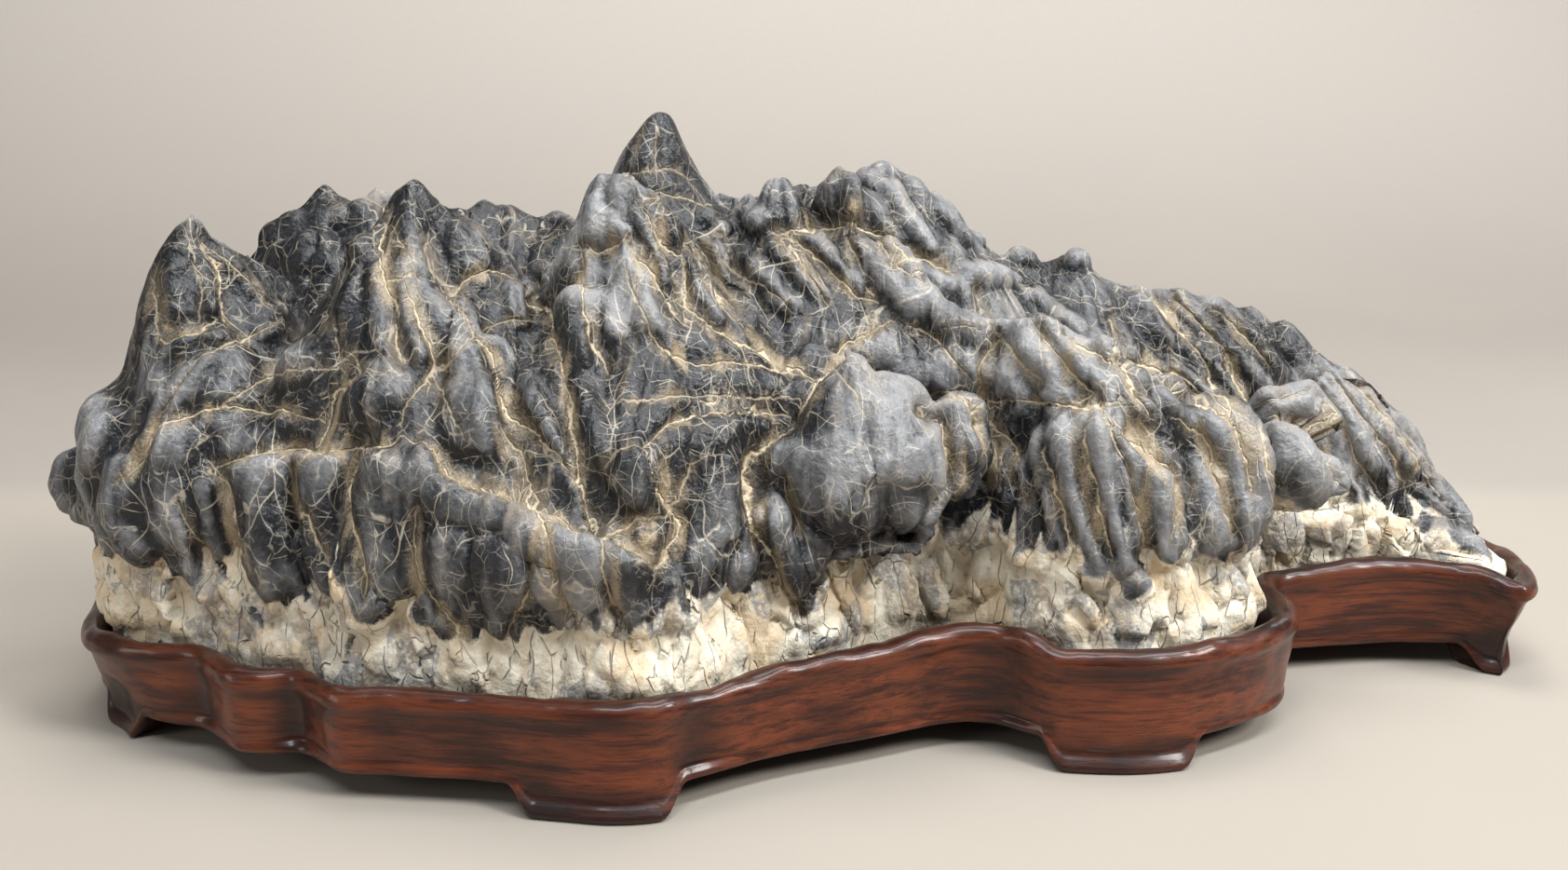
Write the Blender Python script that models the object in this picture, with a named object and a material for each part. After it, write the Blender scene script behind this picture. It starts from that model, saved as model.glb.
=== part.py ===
"""Mountain-range scholar's rock on its carved rosewood stand.

Two pieces: the natural stone, and the one-piece stand (daiza) whose wall, rim, seat and seven
feet are carved from a single block.  The stone only rests in the stand.

Sizes are in millimetres here and become metres when a mesh is written.  X runs along the range
from west (-) to east (+), Y from the front (-) to the back (+), Z up from the table.
"""
import math

import bmesh
import bpy
import numpy as np

MM = 0.001
MIDDLE = (-2.15, 1.3)       # middle of the whole object's box, which becomes the origin

# ---------------------------------------------------------------- driving dimensions
SEAT = 15.0                 # top of the stand's seat
STONE_BOTTOM = SEAT + 0.4   # underside of the stone, just clear of the seat
RIM_LEVEL = 35.0            # height at which the stone's plan outline is given
WALL_LEAN = 0.25            # how far the flanks lean in for each mm of height
BACK_LEAN = 0.26            # the same on the far side
# Share of the lean at each x: the west end is upright, the east end a long slope.
WEST_TO_EAST_LEAN = ((-232, 0), (-200, 0.05), (-170, 1), (150, 1), (185, 1.3), (215, 2.4), (230, 4))
EAVES_LEVEL = 58.0          # where the dark upper stone overhangs the pale base
EAVES_DEPTH = 3.5
CREASE = 0.7                # radius left in the creases between two ridges
ROOT_FILLET = 8.0           # hollow where a free lobe grows out of the body
LOBE_RISE = 1.6             # height of a relief lobe of 1 mm radius; grows as the square root
LOBE_FALL = 1.2             # how steeply a relief lobe's sides fall away
RELIEF_FOOT = (36.0, 48.0)  # the relief grows to its full height between these levels
SHOULDER = 5.0              # rounding where the tops turn over into the flanks
STONE_TRIANGLES = 6600
STONE_ARCHES = 230          # sections along the range, each an arch from front foot to back foot
STONE_FLANK_ROWS = 16       # rows up the flank, below SPINE_LEVEL
STONE_CROWN_ROWS = 42       # rows from the flank to the top of the arch
BACK_SPURS = 15
SPINE_WEST, SPINE_EAST = (-165.0, 14.0), (185.0, 34.0)
KNEE_LEVEL, KNEE_EAST = 70.0, 27.0  # where level rays begin to turn upright; lower at the east
KNEE_INSET = 28.0           # the turning rays pass this far inside the plan outline
REACH = 140.0               # the rays start this far out
OUTWARD_REACH = 2.5         # the relief is raised square to the surface, taken over this reach

# Plan of the stone where it enters the stand, clockwise from the west tip along the front.
STONE_PLAN = (
    (-231, 10), (-230, -20), (-220, -42), (-198, -51), (-178, -59), (-164, -68), (-153, -69),
    (-142, -75), (-109, -84), (-62, -93), (-48, -92), (-36, -84), (-26, -71), (-7, -60), (2, -52),
    (12, -42), (24, -35), (42, -35), (52, -41), (62, -53), (80, -60), (100, -59), (113, -50),
    (128, -41),
    (132, -31), (130, -12), (148, 14), (175, 15), (198, 15), (212, 13), (222, 6), (230, 14),
    (227, 42), (208, 63), (178, 77), (140, 86), (95, 92), (45, 95), (0, 96), (-50, 95),
    (-100, 92), (-150, 86), (-192, 72), (-220, 44),
)

# Outer edge of the stand's rim, from the west tip along the front: (x, y, height of the rim).
STAND_RIM = (
    (-241, 10, 34), (-239, -12, 33), (-235, -32, 32), (-226, -48, 33), (-213, -58, 34),
    (-198, -62, 34), (-189, -64, 34), (-181, -71, 34), (-173, -79, 34), (-163, -81, 34),
    (-154, -81, 34), (-147, -86, 34), (-138, -93, 34), (-120, -95, 34), (-98, -98, 34),
    (-75, -102, 34), (-61, -104, 34), (-48, -102, 34), (-36, -95, 34), (-24, -87, 35),
    (-12, -81, 36), (14, -70, 37), (34, -61, 39), (46, -61, 40), (55, -67, 39), (63, -72, 37),
    (75, -74, 37), (90, -74, 37), (106, -70, 37), (123, -61, 37), (136, -51, 37),
    (143, -40, 37), (146, -26, 37), (145, -14, 36), (149, -5, 36), (158, -2, 37),
    (176, 1, 39), (192, 3, 39), (206, 1, 38), (215, -3, 37), (222, -9, 36), (228, -11, 35),
    (235, -3, 35), (240, 12, 35), (241, 30, 35), (236, 50, 35), (222, 70, 35), (195, 85, 35),
    (160, 94, 36), (110, 102, 36), (50, 106, 37), (0, 106, 36), (-50, 105, 36),
    (-100, 102, 35), (-150, 96, 35), (-192, 84, 34), (-224, 58, 34), (-238, 34, 34),
)
STAND_SECTIONS = 126
WALL_BOTTOM = 8.0           # the wall and the underside clear the table by this much
RIM_WIDTH = 7.4             # from the outer edge of the rim to the edge of the recess
FOOT_DEPTH = 15.0           # how far a foot runs in under the wall
FOOT_FLARE = 3.6            # how far a foot's toe stands out from the wall's lower edge
FOOT_SHOULDER = 9.0         # length of the slope at each end of a foot
# Feet: (x, y of the outline point over the middle, half length, set back from the wall).
FEET = (
    (-224, -50, 13, 8), (-66, -103, 22, 0), (84, -75, 22, 0), (229, -10, 16, 9),
    (190, 87, 20, 0), (10, 106, 22, 0), (-150, 96, 22, 0),
)

# Ridges: (slope under the crest, slope far below, flare length, crest radius, crest points).
RIDGES = {
    "west spire": (3.0, 1.0, 24, 3.5, ((-196, -22, 154), (-193, -20, 156))),
    "west spire back": (2.2, 0.9, 20, 3.0, ((-193, -20, 155), (-187, -15, 146), (-174, 0, 134))),
    "west edge": (2.4, 1.2, 20, 4.0, ((-196, -24, 150), (-201, -26, 135), (-205, -30, 117),
                                      (-209, -30, 104), (-216, -30, 94), (-225, -28, 85),
                                      (-232, -26, 78))),
    "north west": (1.8, 0.9, 18, 4.0, ((-196, 35, 134), (-185, 45, 149), (-175, 50, 159),
                                       (-171, 50, 158))),
    "north comb": (1.5, 0.8, 16, 3.0, ((-165, 50, 151), (-158, 50, 158), (-152, 50, 157),
                                       (-148, 50, 151), (-131, 55, 150), (-122, 58, 151),
                                       (-113, 60, 152), (-102, 58, 147), (-92, 55, 149),
                                       (-77, 45, 147), (-57, 30, 150))),
    "west tower": (2.3, 1.1, 22, 3.0, ((-125, -22, 167), (-130, -24, 163), (-136, -30, 150),
                                       (-141, -40, 138), (-146, -50, 128))),
    "west tower east": (1.9, 1.0, 20, 4.0, ((-125, -22, 167), (-117, -20, 157),
                                            (-100, -18, 143), (-90, -20, 134))),
    "west tower front": (2.6, 1.2, 12, 3.0, ((-125, -24, 163), (-124, -35, 150),
                                             (-124, -50, 132), (-122, -63, 113))),
    "west tower south east": (1.4, 0.9, 14, 4.0, ((-116, -22, 153), (-104, -45, 126),
                                                  (-95, -55, 114), (-80, -70, 96),
                                                  (-66, -82, 77))),
    "twin tower": (3.2, 1.0, 26, 4.0, ((-69, -27, 168), (-61, -26, 168), (-55, -26, 165))),
    "twin tower east": (1.9, 0.9, 18, 3.0, ((-53, -26, 163), (-48, -25, 157), (-43, -24, 149))),
    "twin tower front": (2.6, 1.2, 16, 3.0, ((-66, -32, 158), (-60, -40, 151),
                                             (-55, -48, 136), (-51, -56, 122))),
    "twin tower west": (2.4, 1.0, 12, 3.0, ((-72, -38, 145), (-75, -46, 138), (-72, -54, 126),
                                            (-66, -60, 103), (-57, -68, 90), (-52, -75, 78))),
    "horn": (2.6, 1.0, 34, 6.5, ((-55, 16, 185), (-54, 16, 185))),
    "horn skirt": (2.0, 0.9, 20, 4.0, ((-50, 15, 170), (-42, 14, 164), (-34, 12, 155))),
    "saddle": (1.8, 0.8, 12, 3.0, ((-36, 28, 159), (-28, 28, 156), (-9, 28, 159), (-3, 25, 161))),
    "saddle cone": (2.4, 0.9, 14, 3.0, ((-26, 14, 160), (-25, 14, 160))),
    "saddle tower": (3.0, 0.9, 20, 4.0, ((-18, 4, 166), (-14, 4, 166))),
    "east tower": (3.2, 0.9, 22, 4.0, ((-2, 12, 163), (4, 10, 166), (8, 8, 165))),
    "east tower crown": (2.4, 0.9, 22, 5.0, ((12, 20, 166), (18, 20, 168), (24, 20, 166))),
    "east tower fall": (2.2, 0.9, 18, 4.0, ((24, 20, 164), (35, 24, 160), (41, 28, 156),
                                            (49, 36, 142), (59, 38, 136))),
    "east crest": (1.5, 1.0, 20, 5.0, ((59, 38, 134), (66, 40, 136), (75, 40, 133),
                                       (85, 40, 138), (96, 40, 129), (108, 42, 124),
                                       (134, 42, 121), (158, 42, 112), (179, 40, 97),
                                       (199, 37, 80), (219, 30, 56), (227, 24, 42))),
    "middle east": (1.9, 0.8, 14, 4.0, ((-19, -2, 146), (-8, -4, 147), (16, -8, 146),
                                        (24, -10, 140), (30, -12, 133))),
    "knob": (1.9, 0.9, 14, 5.0, ((30, -22, 132), (25, -30, 127), (17, -38, 123),
                                 (7, -46, 117), (0, -52, 111))),
    "south east": (1.7, 0.8, 12, 4.0, ((30, -20, 133), (46, -22, 130), (63, -24, 126),
                                       (79, -30, 117), (96, -34, 109), (109, -36, 102),
                                       (122, -38, 91))),
    "terrace": (1.1, 0.8, 20, 16.0, ((-206, -36, 98), (-172, -48, 106), (-145, -54, 109),
                                     (-126, -60, 108))),
    "basin": (0.9, 0.7, 20, 16.0, ((-47, -55, 108), (-26, -50, 112), (-7, -35, 117),
                                   (12, -20, 123))),
    "basin lip": (1.0, 0.8, 20, 10.0, ((-44, -64, 104), (-34, -66, 105), (-18, -62, 103))),
    "front east": (1.0, 0.7, 20, 12.0, ((27, -46, 106), (43, -48, 104), (73, -46, 104),
                                        (90, -44, 102), (110, -40, 98), (124, -38, 87))),
    "back terrace": (1.1, 0.9, 30, 15.0, ((-190, 30, 110), (-120, 55, 120), (-40, 60, 122),
                                          (40, 60, 120), (110, 52, 108), (165, 45, 92))),
}

# Rounded lobes on the steep faces: (extra height, chain of (x, z, radius)).  Each chain is
# pushed onto the body from the front.
WALL_LOBES = {
    "west shoulder": (0, ((-213, 101, 5), (-217, 91, 6.5), (-221, 80, 5.5), (-217, 68, 4.5),
                          (-215, 60, 2.5))),
    "west hollow lobe": (4, ((-206, 83, 6), (-208, 74, 7), (-205, 65, 5), (-204, 60, 2))),
    "west dome": (2, ((-194, 92, 11), (-194, 80, 10.5), (-191, 71, 8), (-190, 58, 4.5),
                      (-185, 49, 2))),
    "west dome rib": (2, ((-182, 82, 5), (-181, 70, 4), (-179, 58, 3), (-173, 48, 3),
                          (-167, 43, 2))),
    "west face": (1, ((-168, 86, 14.5), (-167, 76, 14.5), (-163, 65, 13), (-159, 56, 9))),
    "west face rib": (1, ((-145, 90, 9), (-145, 79, 9), (-144, 67, 7.5), (-142, 59, 4))),
    "west face tongue": (1, ((-152, 66, 4), (-152, 51, 1.5))),
    "great dome": (3, ((-122, 90, 14), (-126, 80, 12), (-127, 68, 9.5), (-129, 58, 7.5),
                       (-133, 48, 3))),
    "great dome east": (2, ((-117, 87, 12.5), (-119, 75, 10), (-118, 66, 6), (-120, 58, 3))),
    "ledge roll": (4, ((-109, 84, 6), (-100, 81, 6.5), (-90, 79, 6.5), (-79, 76, 6), (-66, 73, 5),
                       (-53, 67, 5))),
    "ledge face west": (2, ((-105, 72, 12), (-104, 62, 10), (-100, 53, 7.5))),
    "ledge face east": (2, ((-90, 71, 12), (-88, 63, 9), (-92, 52, 5.5))),
    "ledge tongue": (3, ((-116, 63, 3), (-113, 54, 3), (-108, 48, 1.5))),
    "notch tooth": (2, ((-82, 58, 3.5), (-79, 52, 2.5))),
    "ledge finger a": (2, ((-78, 73, 6), (-75, 64, 4.5), (-75, 55, 2.5))),
    "ledge finger b": (2, ((-69, 71, 4.5), (-68, 63, 4), (-66, 54, 2.5))),
    "ledge finger c": (2, ((-58, 66, 6.5), (-55, 58, 4))),
    "ledge finger d": (2, ((-47, 62, 6), (-45, 56, 3.5))),
    "valley wall": (0, ((-56, 96, 10), (-53, 89, 8.5), (-51, 83, 4))),
    "valley deposit": (0, ((-53, 75, 6), (-49, 73, 4))),
    "south dome": (2, ((-31, 95, 12.5), (-33, 85, 12.5), (-34, 74, 11.5), (-38, 67, 8.5),
                       (-40, 62, 4.5))),
    "south dome east": (2, ((-27, 73, 7.5), (-28, 64, 7), (-29, 59, 3.5))),
    "fang": (3, ((-20, 72, 4.5), (-17, 62, 4.5), (-13, 50, 3.5), (-8, 43, 1.5))),
    "fang back": (1, ((-10, 61, 4.5), (-8, 51, 3), (-8, 45, 2))),
    "small tongue": (0, ((50, 81, 5), (53, 71, 5), (53, 65, 2.5))),
    "tongue a": (1, ((57, 82, 4.5), (59, 70, 3.5), (58, 58, 1.5))),
    "tongue b": (1, ((62, 90, 4.5), (64, 77, 4.5), (67, 65, 3), (69, 59, 1.5))),
    "finger a": (3, ((69, 92, 6.5), (69, 81, 5.5), (73, 70, 4), (77, 59, 2))),
    "finger b": (4, ((76, 96, 6.5), (77, 83, 6), (80, 70, 5.5), (84, 59, 4.5), (88, 52, 2))),
    "finger c": (3, ((84, 89, 5), (86, 78, 5), (89, 68, 3.5), (89, 58, 2.5))),
    "finger d": (3, ((93, 86, 7), (95, 76, 7), (96, 66, 4.5), (97, 61, 2))),
    "finger e": (3, ((111, 79, 8), (112, 70, 8), (114, 63, 4.5))),
    "finger f": (6, ((117, 93, 9), (121, 82, 8.5), (120, 70, 7.5), (119, 63, 3.5))),
    "finger g": (0, ((146, 77, 5), (150, 65, 5), (145, 53, 3.5))),
    "far rib a": (0, ((172, 89, 6.5), (180, 76, 6.5), (192, 61, 6), (200, 48, 2.5))),
    "far rib b": (0, ((184, 88, 6.5), (196, 72, 7.5), (210, 55, 6), (219, 48, 3.5))),
    "far base": (1, ((160, 44, 10), (178, 42, 9), (207, 40, 10), (221, 38, 5.5), (227, 36, 3.5))),
    "far rib c": (0, ((180, 58, 4), (181, 45, 5), (176, 38, 2))),
    "west edge rib": (0, ((-185, 117, 4), (-190, 108, 4.5), (-199, 98, 4))),
    "long rib": (0, ((-97, 121, 5.5), (-89, 112, 6), (-81, 104, 5.5), (-73, 92, 4.5),
                     (-68, 83, 2.5))),
    "valley rib": (0, ((-78, 116, 6), (-69, 105, 6.5), (-64, 97, 5.5))),
    "mantle shoulder east": (0, ((30, 108, 7.5), (39, 98, 6.5), (45, 90, 4.5))),
    "shell side": (0, ((53, 107, 5), (58, 100, 4.5))),
    "long crest c": (0, ((99, 105, 5), (115, 100, 6), (125, 93, 7), (136, 81, 5.5))),
    "face rib b": (0, ((83, 110, 4.5), (91, 102, 4), (97, 93, 3))),
    "face rib c": (0, ((97, 105, 4.5), (105, 95, 4.5), (110, 86, 3))),
    "crest rib a": (0, ((109, 121, 6), (124, 105, 6), (140, 87, 5.5), (150, 70, 3.5))),
    "crest rib b": (0, ((121, 120, 5.5), (134, 106, 5.5), (151, 90, 4.5))),
    "crest rib c": (0, ((133, 118, 5.5), (148, 104, 5.5), (165, 89, 4.5))),
    "crest rib d": (0, ((145, 115, 5.5), (161, 101, 5.5), (173, 89, 4.5))),
    "crest rib e": (0, ((158, 109, 5.5), (174, 94, 6), (188, 78, 5.5), (206, 60, 4.5),
                        (216, 49, 3))),
}

# Rounded lobes on the crown: chains of (x, y, radius), each let down on the body from above.
CROWN_LOBES = {
    "terrace dome": ((-130, -62, 15.5),),
    "terrace swell": ((-156, -46, 10),),
    "west ledge lobe": ((-194, -42, 4.5), (-186, -39, 5), (-181, -37, 3)),
    "west small lobe a": ((-173, -17, 4), (-172, -12, 3.5)),
    "west small lobe b": ((-173, -25, 4), (-171, -16, 3.5)),
    "west flank rib": ((-185, -18, 4.5), (-180, -17, 4.5), (-176, -16, 3.5)),
    "west spire rib": ((-195, -27, 3.5), (-196, -31, 4.5), (-194, -35, 4.5)),
    "west spire east rib": ((-188, -23, 3.5), (-186, -26, 4.5), (-185, -32, 4)),
    "south terrace dome": ((-100, -64, 14), (-100, -68, 13.5)),
    "tower oval": ((-110, -23, 8.5), (-107, -26, 8.5)),
    "tower lower oval": ((-94, -26, 8), (-95, -29, 8)),
    "tower face": ((-112, -42, 8.5), (-107, -53, 8.5)),
    "tower rib": ((-133, -40, 3.5), (-130, -47, 4), (-127, -56, 4)),
    "tower mid rib": ((-126, -41, 3.5), (-121, -51, 4), (-117, -57, 4)),
    "valley upper lobe": ((-75, -50, 7), (-74, -53, 7), (-72, -58, 6)),
    "valley spur": ((-67, -46, 4), (-64, -53, 4)),
    "twin rib a": ((-70, -33, 3), (-70, -36, 3.5)),
    "twin rib b": ((-63, -32, 4), (-62, -37, 4)),
    "twin rib c": ((-56, -32, 4), (-53, -37, 4), (-50, -44, 3.5)),
    "twin rib d": ((-51, -30, 3.5), (-46, -32, 4), (-43, -36, 3)),
    "pale foot": ((-55, -50, 4), (-52, -53, 4)),
    "east rib a": ((-43, -34, 4), (-39, -39, 4), (-34, -43, 3)),
    "east rib b": ((-37, -4, 4.5), (-31, -11, 4.5), (-25, -29, 3)),
    "east rib c": ((-29, 2, 5), (-20, -14, 5), (-13, -20, 3.5)),
    "east rib d": ((-16, -10, 5), (-9, -14, 5), (-3, -18, 3)),
    "ledge rib a": ((-6, -6, 5), (2, -11, 5), (8, -16, 3)),
    "ledge rib b": ((6, 0, 5.5), (13, -12, 5), (20, -14, 3.5)),
    "ledge rib c": ((18, -9, 4.5), (25, -12, 4)),
    "crown rib a": ((0, 6, 4), (-1, 6, 4)),
    "crown rib b": ((6, 5, 3.5), (6, 3, 4)),
    "crown rib c": ((12, 15, 3.5), (15, 8, 4), (20, 4, 3)),
    "crown rib d": ((20, 14, 4.5), (25, 9, 4.5), (31, 4, 3)),
    "crown rib e": ((28, 19, 4.5), (35, 18, 4.5), (44, 18, 3)),
    "pass knob a": ((-40, 3, 4),),
    "pass knob b": ((-34, 4, 4),),
    "pass knob c": ((-28, 9, 4.5), (-23, -3, 4)),
    "peak knob": ((28, -15, 6.5), (24, -16, 6)),
    "knob side": ((36, -15, 6.5), (42, -17, 6)),
    "knob saddle": ((35, -1, 3), (38, 0, 3)),
    "knob terrace": ((36, -19, 8), (43, -20, 7.5)),
    "mantle shoulder": ((16, -20, 10.5), (21, -21, 10.5)),
    "shell lobe": ((59, -24, 7.5), (64, -30, 8), (66, -37, 5.5)),
    "long crest a": ((47, 10, 4.5), (61, 29, 4.5)),
    "long crest b": ((69, 26, 5.5), (80, 17, 5), (81, -34, 4.5)),
    "face rib a": ((70, -33, 4.5), (77, -40, 4.5), (82, -47, 3)),
    "east rib lobe": ((111, 31, 7.5), (116, 29, 6)),
    "crest bump a": ((85, 36, 4.5),),
    "crest bump b": ((65, 38, 4), (69, 39, 3.5)),
    "crest bump c": ((50, 32, 3.5),),
    "north west step a": ((-191, 42, 5), (-182, 41, 5)),
    "north west step b": ((-173, 41, 5), (-162, 45, 5.5)),
    "north west step c": ((-187, 36, 5), (-172, 35, 5), (-139, -34, 4)),
    "north west step d": ((-182, 32, 4.5), (-168, 29, 5)),
    "back bump a": ((-132, 61, 3.5),),
    "back bump b": ((-125, 63, 3.5), (-121, 61, 3.5)),
    "back bump c": ((-113, 66, 4), (-108, 65, 3.5)),
    "back bump d": ((-94, 60, 5), (-89, 59, 3.5)),
    "back bump e": ((-158, 58, 4.5),),
    "back bump f": ((-166, 55, 3.5),),
}

# Lobes that stand clear of the body: chains of (x, y, z, radius).
FREE_LOBES = {
    "west bulb": ((-238, -19, 77, 5.5), (-239, -19, 71, 6), (-238, -22, 66, 4.5)),
    "west knob": ((-233, -28, 62, 2),),
    "mantle west": ((0, -45, 100, 14.5), (-1, -48, 88, 16.5), (2, -54, 77, 12.5)),
    "mantle east": ((15, -44, 97, 14.5), (17, -48, 85, 15), (18, -54, 77, 10.5)),
    "mantle far": ((27, -48, 91, 8), (27, -51, 81, 8), (25, -56, 74, 4.5)),
    "mantle top": ((2, -41, 111, 7.5), (-3, -45, 103, 10), (11, -43, 102, 10)),
    "mantle under": ((-9, -58, 68, 4), (1, -57, 63, 3.5), (13, -55, 63, 3), (22, -56, 62, 2.5),
                     (25, -56, 67, 2.5)),
    "mantle next": ((37, -42, 98, 9), (38, -46, 89, 10), (37, -50, 81, 6.5)),
    "overhang": ((146, -5, 81, 9.5), (148, -8, 73, 11), (151, -11, 68, 7.5)),
    "overhang tip": ((157, -9, 75, 5), (161, -11, 70, 3.5)),
    "overhang cap": ((144, 2, 93, 6.5), (156, 4, 93, 6.5), (163, 3, 87, 5.5)),
}


# ---------------------------------------------------------------- the stone's solid field
def smooth_loop(points, per_span):
    """Closed Catmull-Rom curve through the points, per_span samples to a span."""
    p = np.array(points, float)
    steps = np.arange(per_span) / per_span
    before, after, beyond = np.roll(p, 1, 0), np.roll(p, -1, 0), np.roll(p, -2, 0)
    t = steps[None, :, None]
    a, b, c, d = before[:, None], p[:, None], after[:, None], beyond[:, None]
    curve = 0.5 * (2 * b + (c - a) * t + (2 * a - 5 * b + 4 * c - d) * t**2
                   + (3 * b - a - 3 * c + d) * t**3)
    return curve.reshape(-1, p.shape[1])


def segments(chains):
    """Rows of (start, end) for each stretch of each chain; a lone place is a stretch of its own."""
    rows = []
    for points in chains:
        ends = points[1:] if len(points) > 1 else points
        rows.extend((*a, *b) for a, b in zip(points, ends))
    return rows


def reach(p, start, step, length):
    """Distance from each point to each stretch, and how far along the stretch it is nearest."""
    q = [p[:, k, None] - start[k] for k in range(3)]
    t = np.clip(sum(a * b for a, b in zip(q, step)) / length, 0, 1)
    away = np.sqrt(sum((a - t * b)**2 for a, b in zip(q, step)))
    return away, t


class Stone:
    """Signed field of the stone, negative inside, in millimetres."""

    def __init__(self):
        self.plan = smooth_loop(STONE_PLAN, 3)
        ridge_rows, ridge_starts = [], []
        for top, foot, flare, crest, points in RIDGES.values():
            ridge_starts.append(len(ridge_rows))
            for a, b in zip(points, points[1:]):
                ridge_rows.append((*a, *b, top, foot, flare, crest))
        self.ridge = np.array(ridge_rows, np.float32)
        self.lobe = np.array(segments(FREE_LOBES.values()), np.float32)
        chains = self.back_spurs()
        for extra, points in WALL_LOBES.values():
            x, z, radius = np.array(points, float).T
            start = np.stack((x, np.full(len(x), -130.0), z), axis=1)
            chains.append(self.seated(start, (0, 1, 0), radius, extra))
        for points in CROWN_LOBES.values():
            x, y, radius = np.array(points, float).T
            start = np.stack((x, y, np.full(len(x), 190.0)), axis=1)
            chains.append(self.seated(start, (0, 0, -1), radius, 0))
        self.relief_lobe = np.array(segments(chains), np.float32)

    def seated(self, start, heading, radius, extra):
        """Places (x, y, z, radius, extra height) of a relief lobe pushed onto the body."""
        place = np.array(start, float)
        heading = np.array(heading, float)
        for _ in range(60):
            place += heading * np.clip(self.bare(place) * 0.8, 0, 20)[:, None]
        return np.column_stack((place, radius, np.full(len(place), float(extra))))

    def bare(self, points):
        """Field of the body alone, before it has its free lobes."""
        return self.body(self.warp(np.asarray(points, np.float32)))

    def back_spurs(self):
        """Rounded spurs down the far side, BACK_SPURS of them."""
        chains = []
        for i in range(BACK_SPURS):
            along = i / (BACK_SPURS - 1)
            x = -205 + 405 * along + 5 * math.sin(2.4 * i)
            top = 110 - 20 * along - 42 * along**6 + 6 * math.sin(1.9 * i + 1)
            level = np.array((top, 0.6 * top + 16, 50))
            radius = np.array((9 + 2 * math.sin(3.1 * i), 8 + 2 * math.cos(2.3 * i), 4.5))
            across = x + np.array((0, 4 * math.sin(i), 6 * math.sin(1.3 * i + 1)))
            start = np.stack((across, np.full(3, 130.0), level), axis=1)
            chains.append(self.seated(start, (0, -1, 0), radius, 0))
        return chains

    def warp(self, p):
        """Bend the space a little so that no ridge runs quite straight."""
        x, y, z = p[:, 0], p[:, 1], p[:, 2]
        dx = 1.3 * np.sin(y / 9.0 + z / 13.0) + 0.6 * np.sin(z / 5.1 - y / 6.3 + 1.7)
        dy = 1.2 * np.sin(x / 10.0 - z / 15.0 + 0.8) + 0.7 * np.sin(x / 5.3 + z / 8.7)
        dz = 1.0 * np.sin(x / 12.0 + y / 8.0 + 2.1) + 0.5 * np.sin(x / 6.1 - y / 5.7)
        free = np.clip((z - 40) / 22, 0, 1)
        return np.stack((x + dx * free, y + dy * free, z + dz * free), axis=1)

    def flank(self, p):
        """Distance outside the leaning flank that rises from the plan outline."""
        a = self.plan
        b = np.roll(a, -1, 0)
        ab = b - a
        q = p[:, None, :2] - a[None]
        t = np.clip((q * ab).sum(2) / (ab * ab).sum(1), 0, 1)
        gap = np.hypot(q[:, :, 0] - t * ab[:, 0], q[:, :, 1] - t * ab[:, 1]).min(1)
        rising = (a[None, :, 1] > p[:, 1, None]) != (b[None, :, 1] > p[:, 1, None])
        span = np.where(np.abs(ab[:, 1]) < 1e-6, 1e-6, ab[:, 1])
        cross = a[:, 0] + (p[:, 1, None] - a[:, 1]) * ab[:, 0] / span
        inside = (rising & (p[:, 0, None] < cross)).sum(1) % 2 == 1
        signed = np.where(inside, -gap, gap)
        back = 1 / (1 + np.exp(-(p[:, 1] - 30) / 8))
        x, z = p[:, 0], p[:, 2]
        lean = np.interp(x, *np.transpose(WEST_TO_EAST_LEAN)) * WALL_LEAN
        lean = lean + (BACK_LEAN - WALL_LEAN) * back
        eaves = EAVES_LEVEL + 4 * np.sin(x / 17 + 1) + 3 * np.sin(x / 6.3)
        step = EAVES_DEPTH / (1 + np.exp(-(z - eaves) / 1.5))
        rise = np.maximum(z, RIM_LEVEL - 3) - RIM_LEVEL
        tuck = 0.6 * np.maximum(24 - z, 0) + 1.2 * np.clip((38 - z) / 5, 0, 1)
        notch = (1 - np.abs(np.sin(x / 6.1 + 0.9 * np.sin(z / 8) + p[:, 1] / 9)))**2
        chips = 2.2 * notch * np.clip((z - RIM_LEVEL) / 6, 0, 1) * np.clip((66 - z) / 8, 0, 1)
        return (signed + lean * rise + tuck + chips - step) / np.hypot(1, lean)

    def ridges(self, p):
        """Height above the ridge tents: crest height less the flank's fall with distance."""
        ax, ay, az, bx, by, bz, top, foot, flare, crest = self.ridge.T
        dx, dy = bx - ax, by - ay
        qx, qy = p[:, 0, None] - ax, p[:, 1, None] - ay
        t = np.clip((qx * dx + qy * dy) / (dx * dx + dy * dy), 0, 1)
        away = np.hypot(qx - t * dx, qy - t * dy)
        away = np.sqrt(away**2 + crest**2) - crest
        fall = foot * away + (top - foot) * flare * (1 - np.exp(-away / flare))
        height = az + t * (bz - az) - fall
        return (p[:, 2, None] - height) / np.hypot(1, top)

    def body(self, p):
        """Ridge tents cut by the flank, with the edge between them rounded over."""
        tents = self.ridges(p)
        low = tents.min(1)
        tent = low - CREASE * np.log(np.exp(-(tents - low[:, None]) / CREASE).sum(1))
        wall = self.flank(p)
        blend = np.maximum(SHOULDER - np.abs(tent - wall), 0)
        return np.maximum(tent, wall) + blend**2 / (4 * SHOULDER)

    def lobes(self, p):
        """Distance to the nearest free lobe, a union of tapered, round-ended bars."""
        row = self.lobe.T
        step = row[4:7] - row[:3]
        away, t = reach(p, row[:3], step, np.maximum((step * step).sum(0), 1e-6))
        gap = away - (row[3] + t * (row[7] - row[3]))
        low = gap.min(1)
        return low - CREASE * np.log(np.exp(-(gap - low[:, None]) / CREASE).sum(1))

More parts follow.
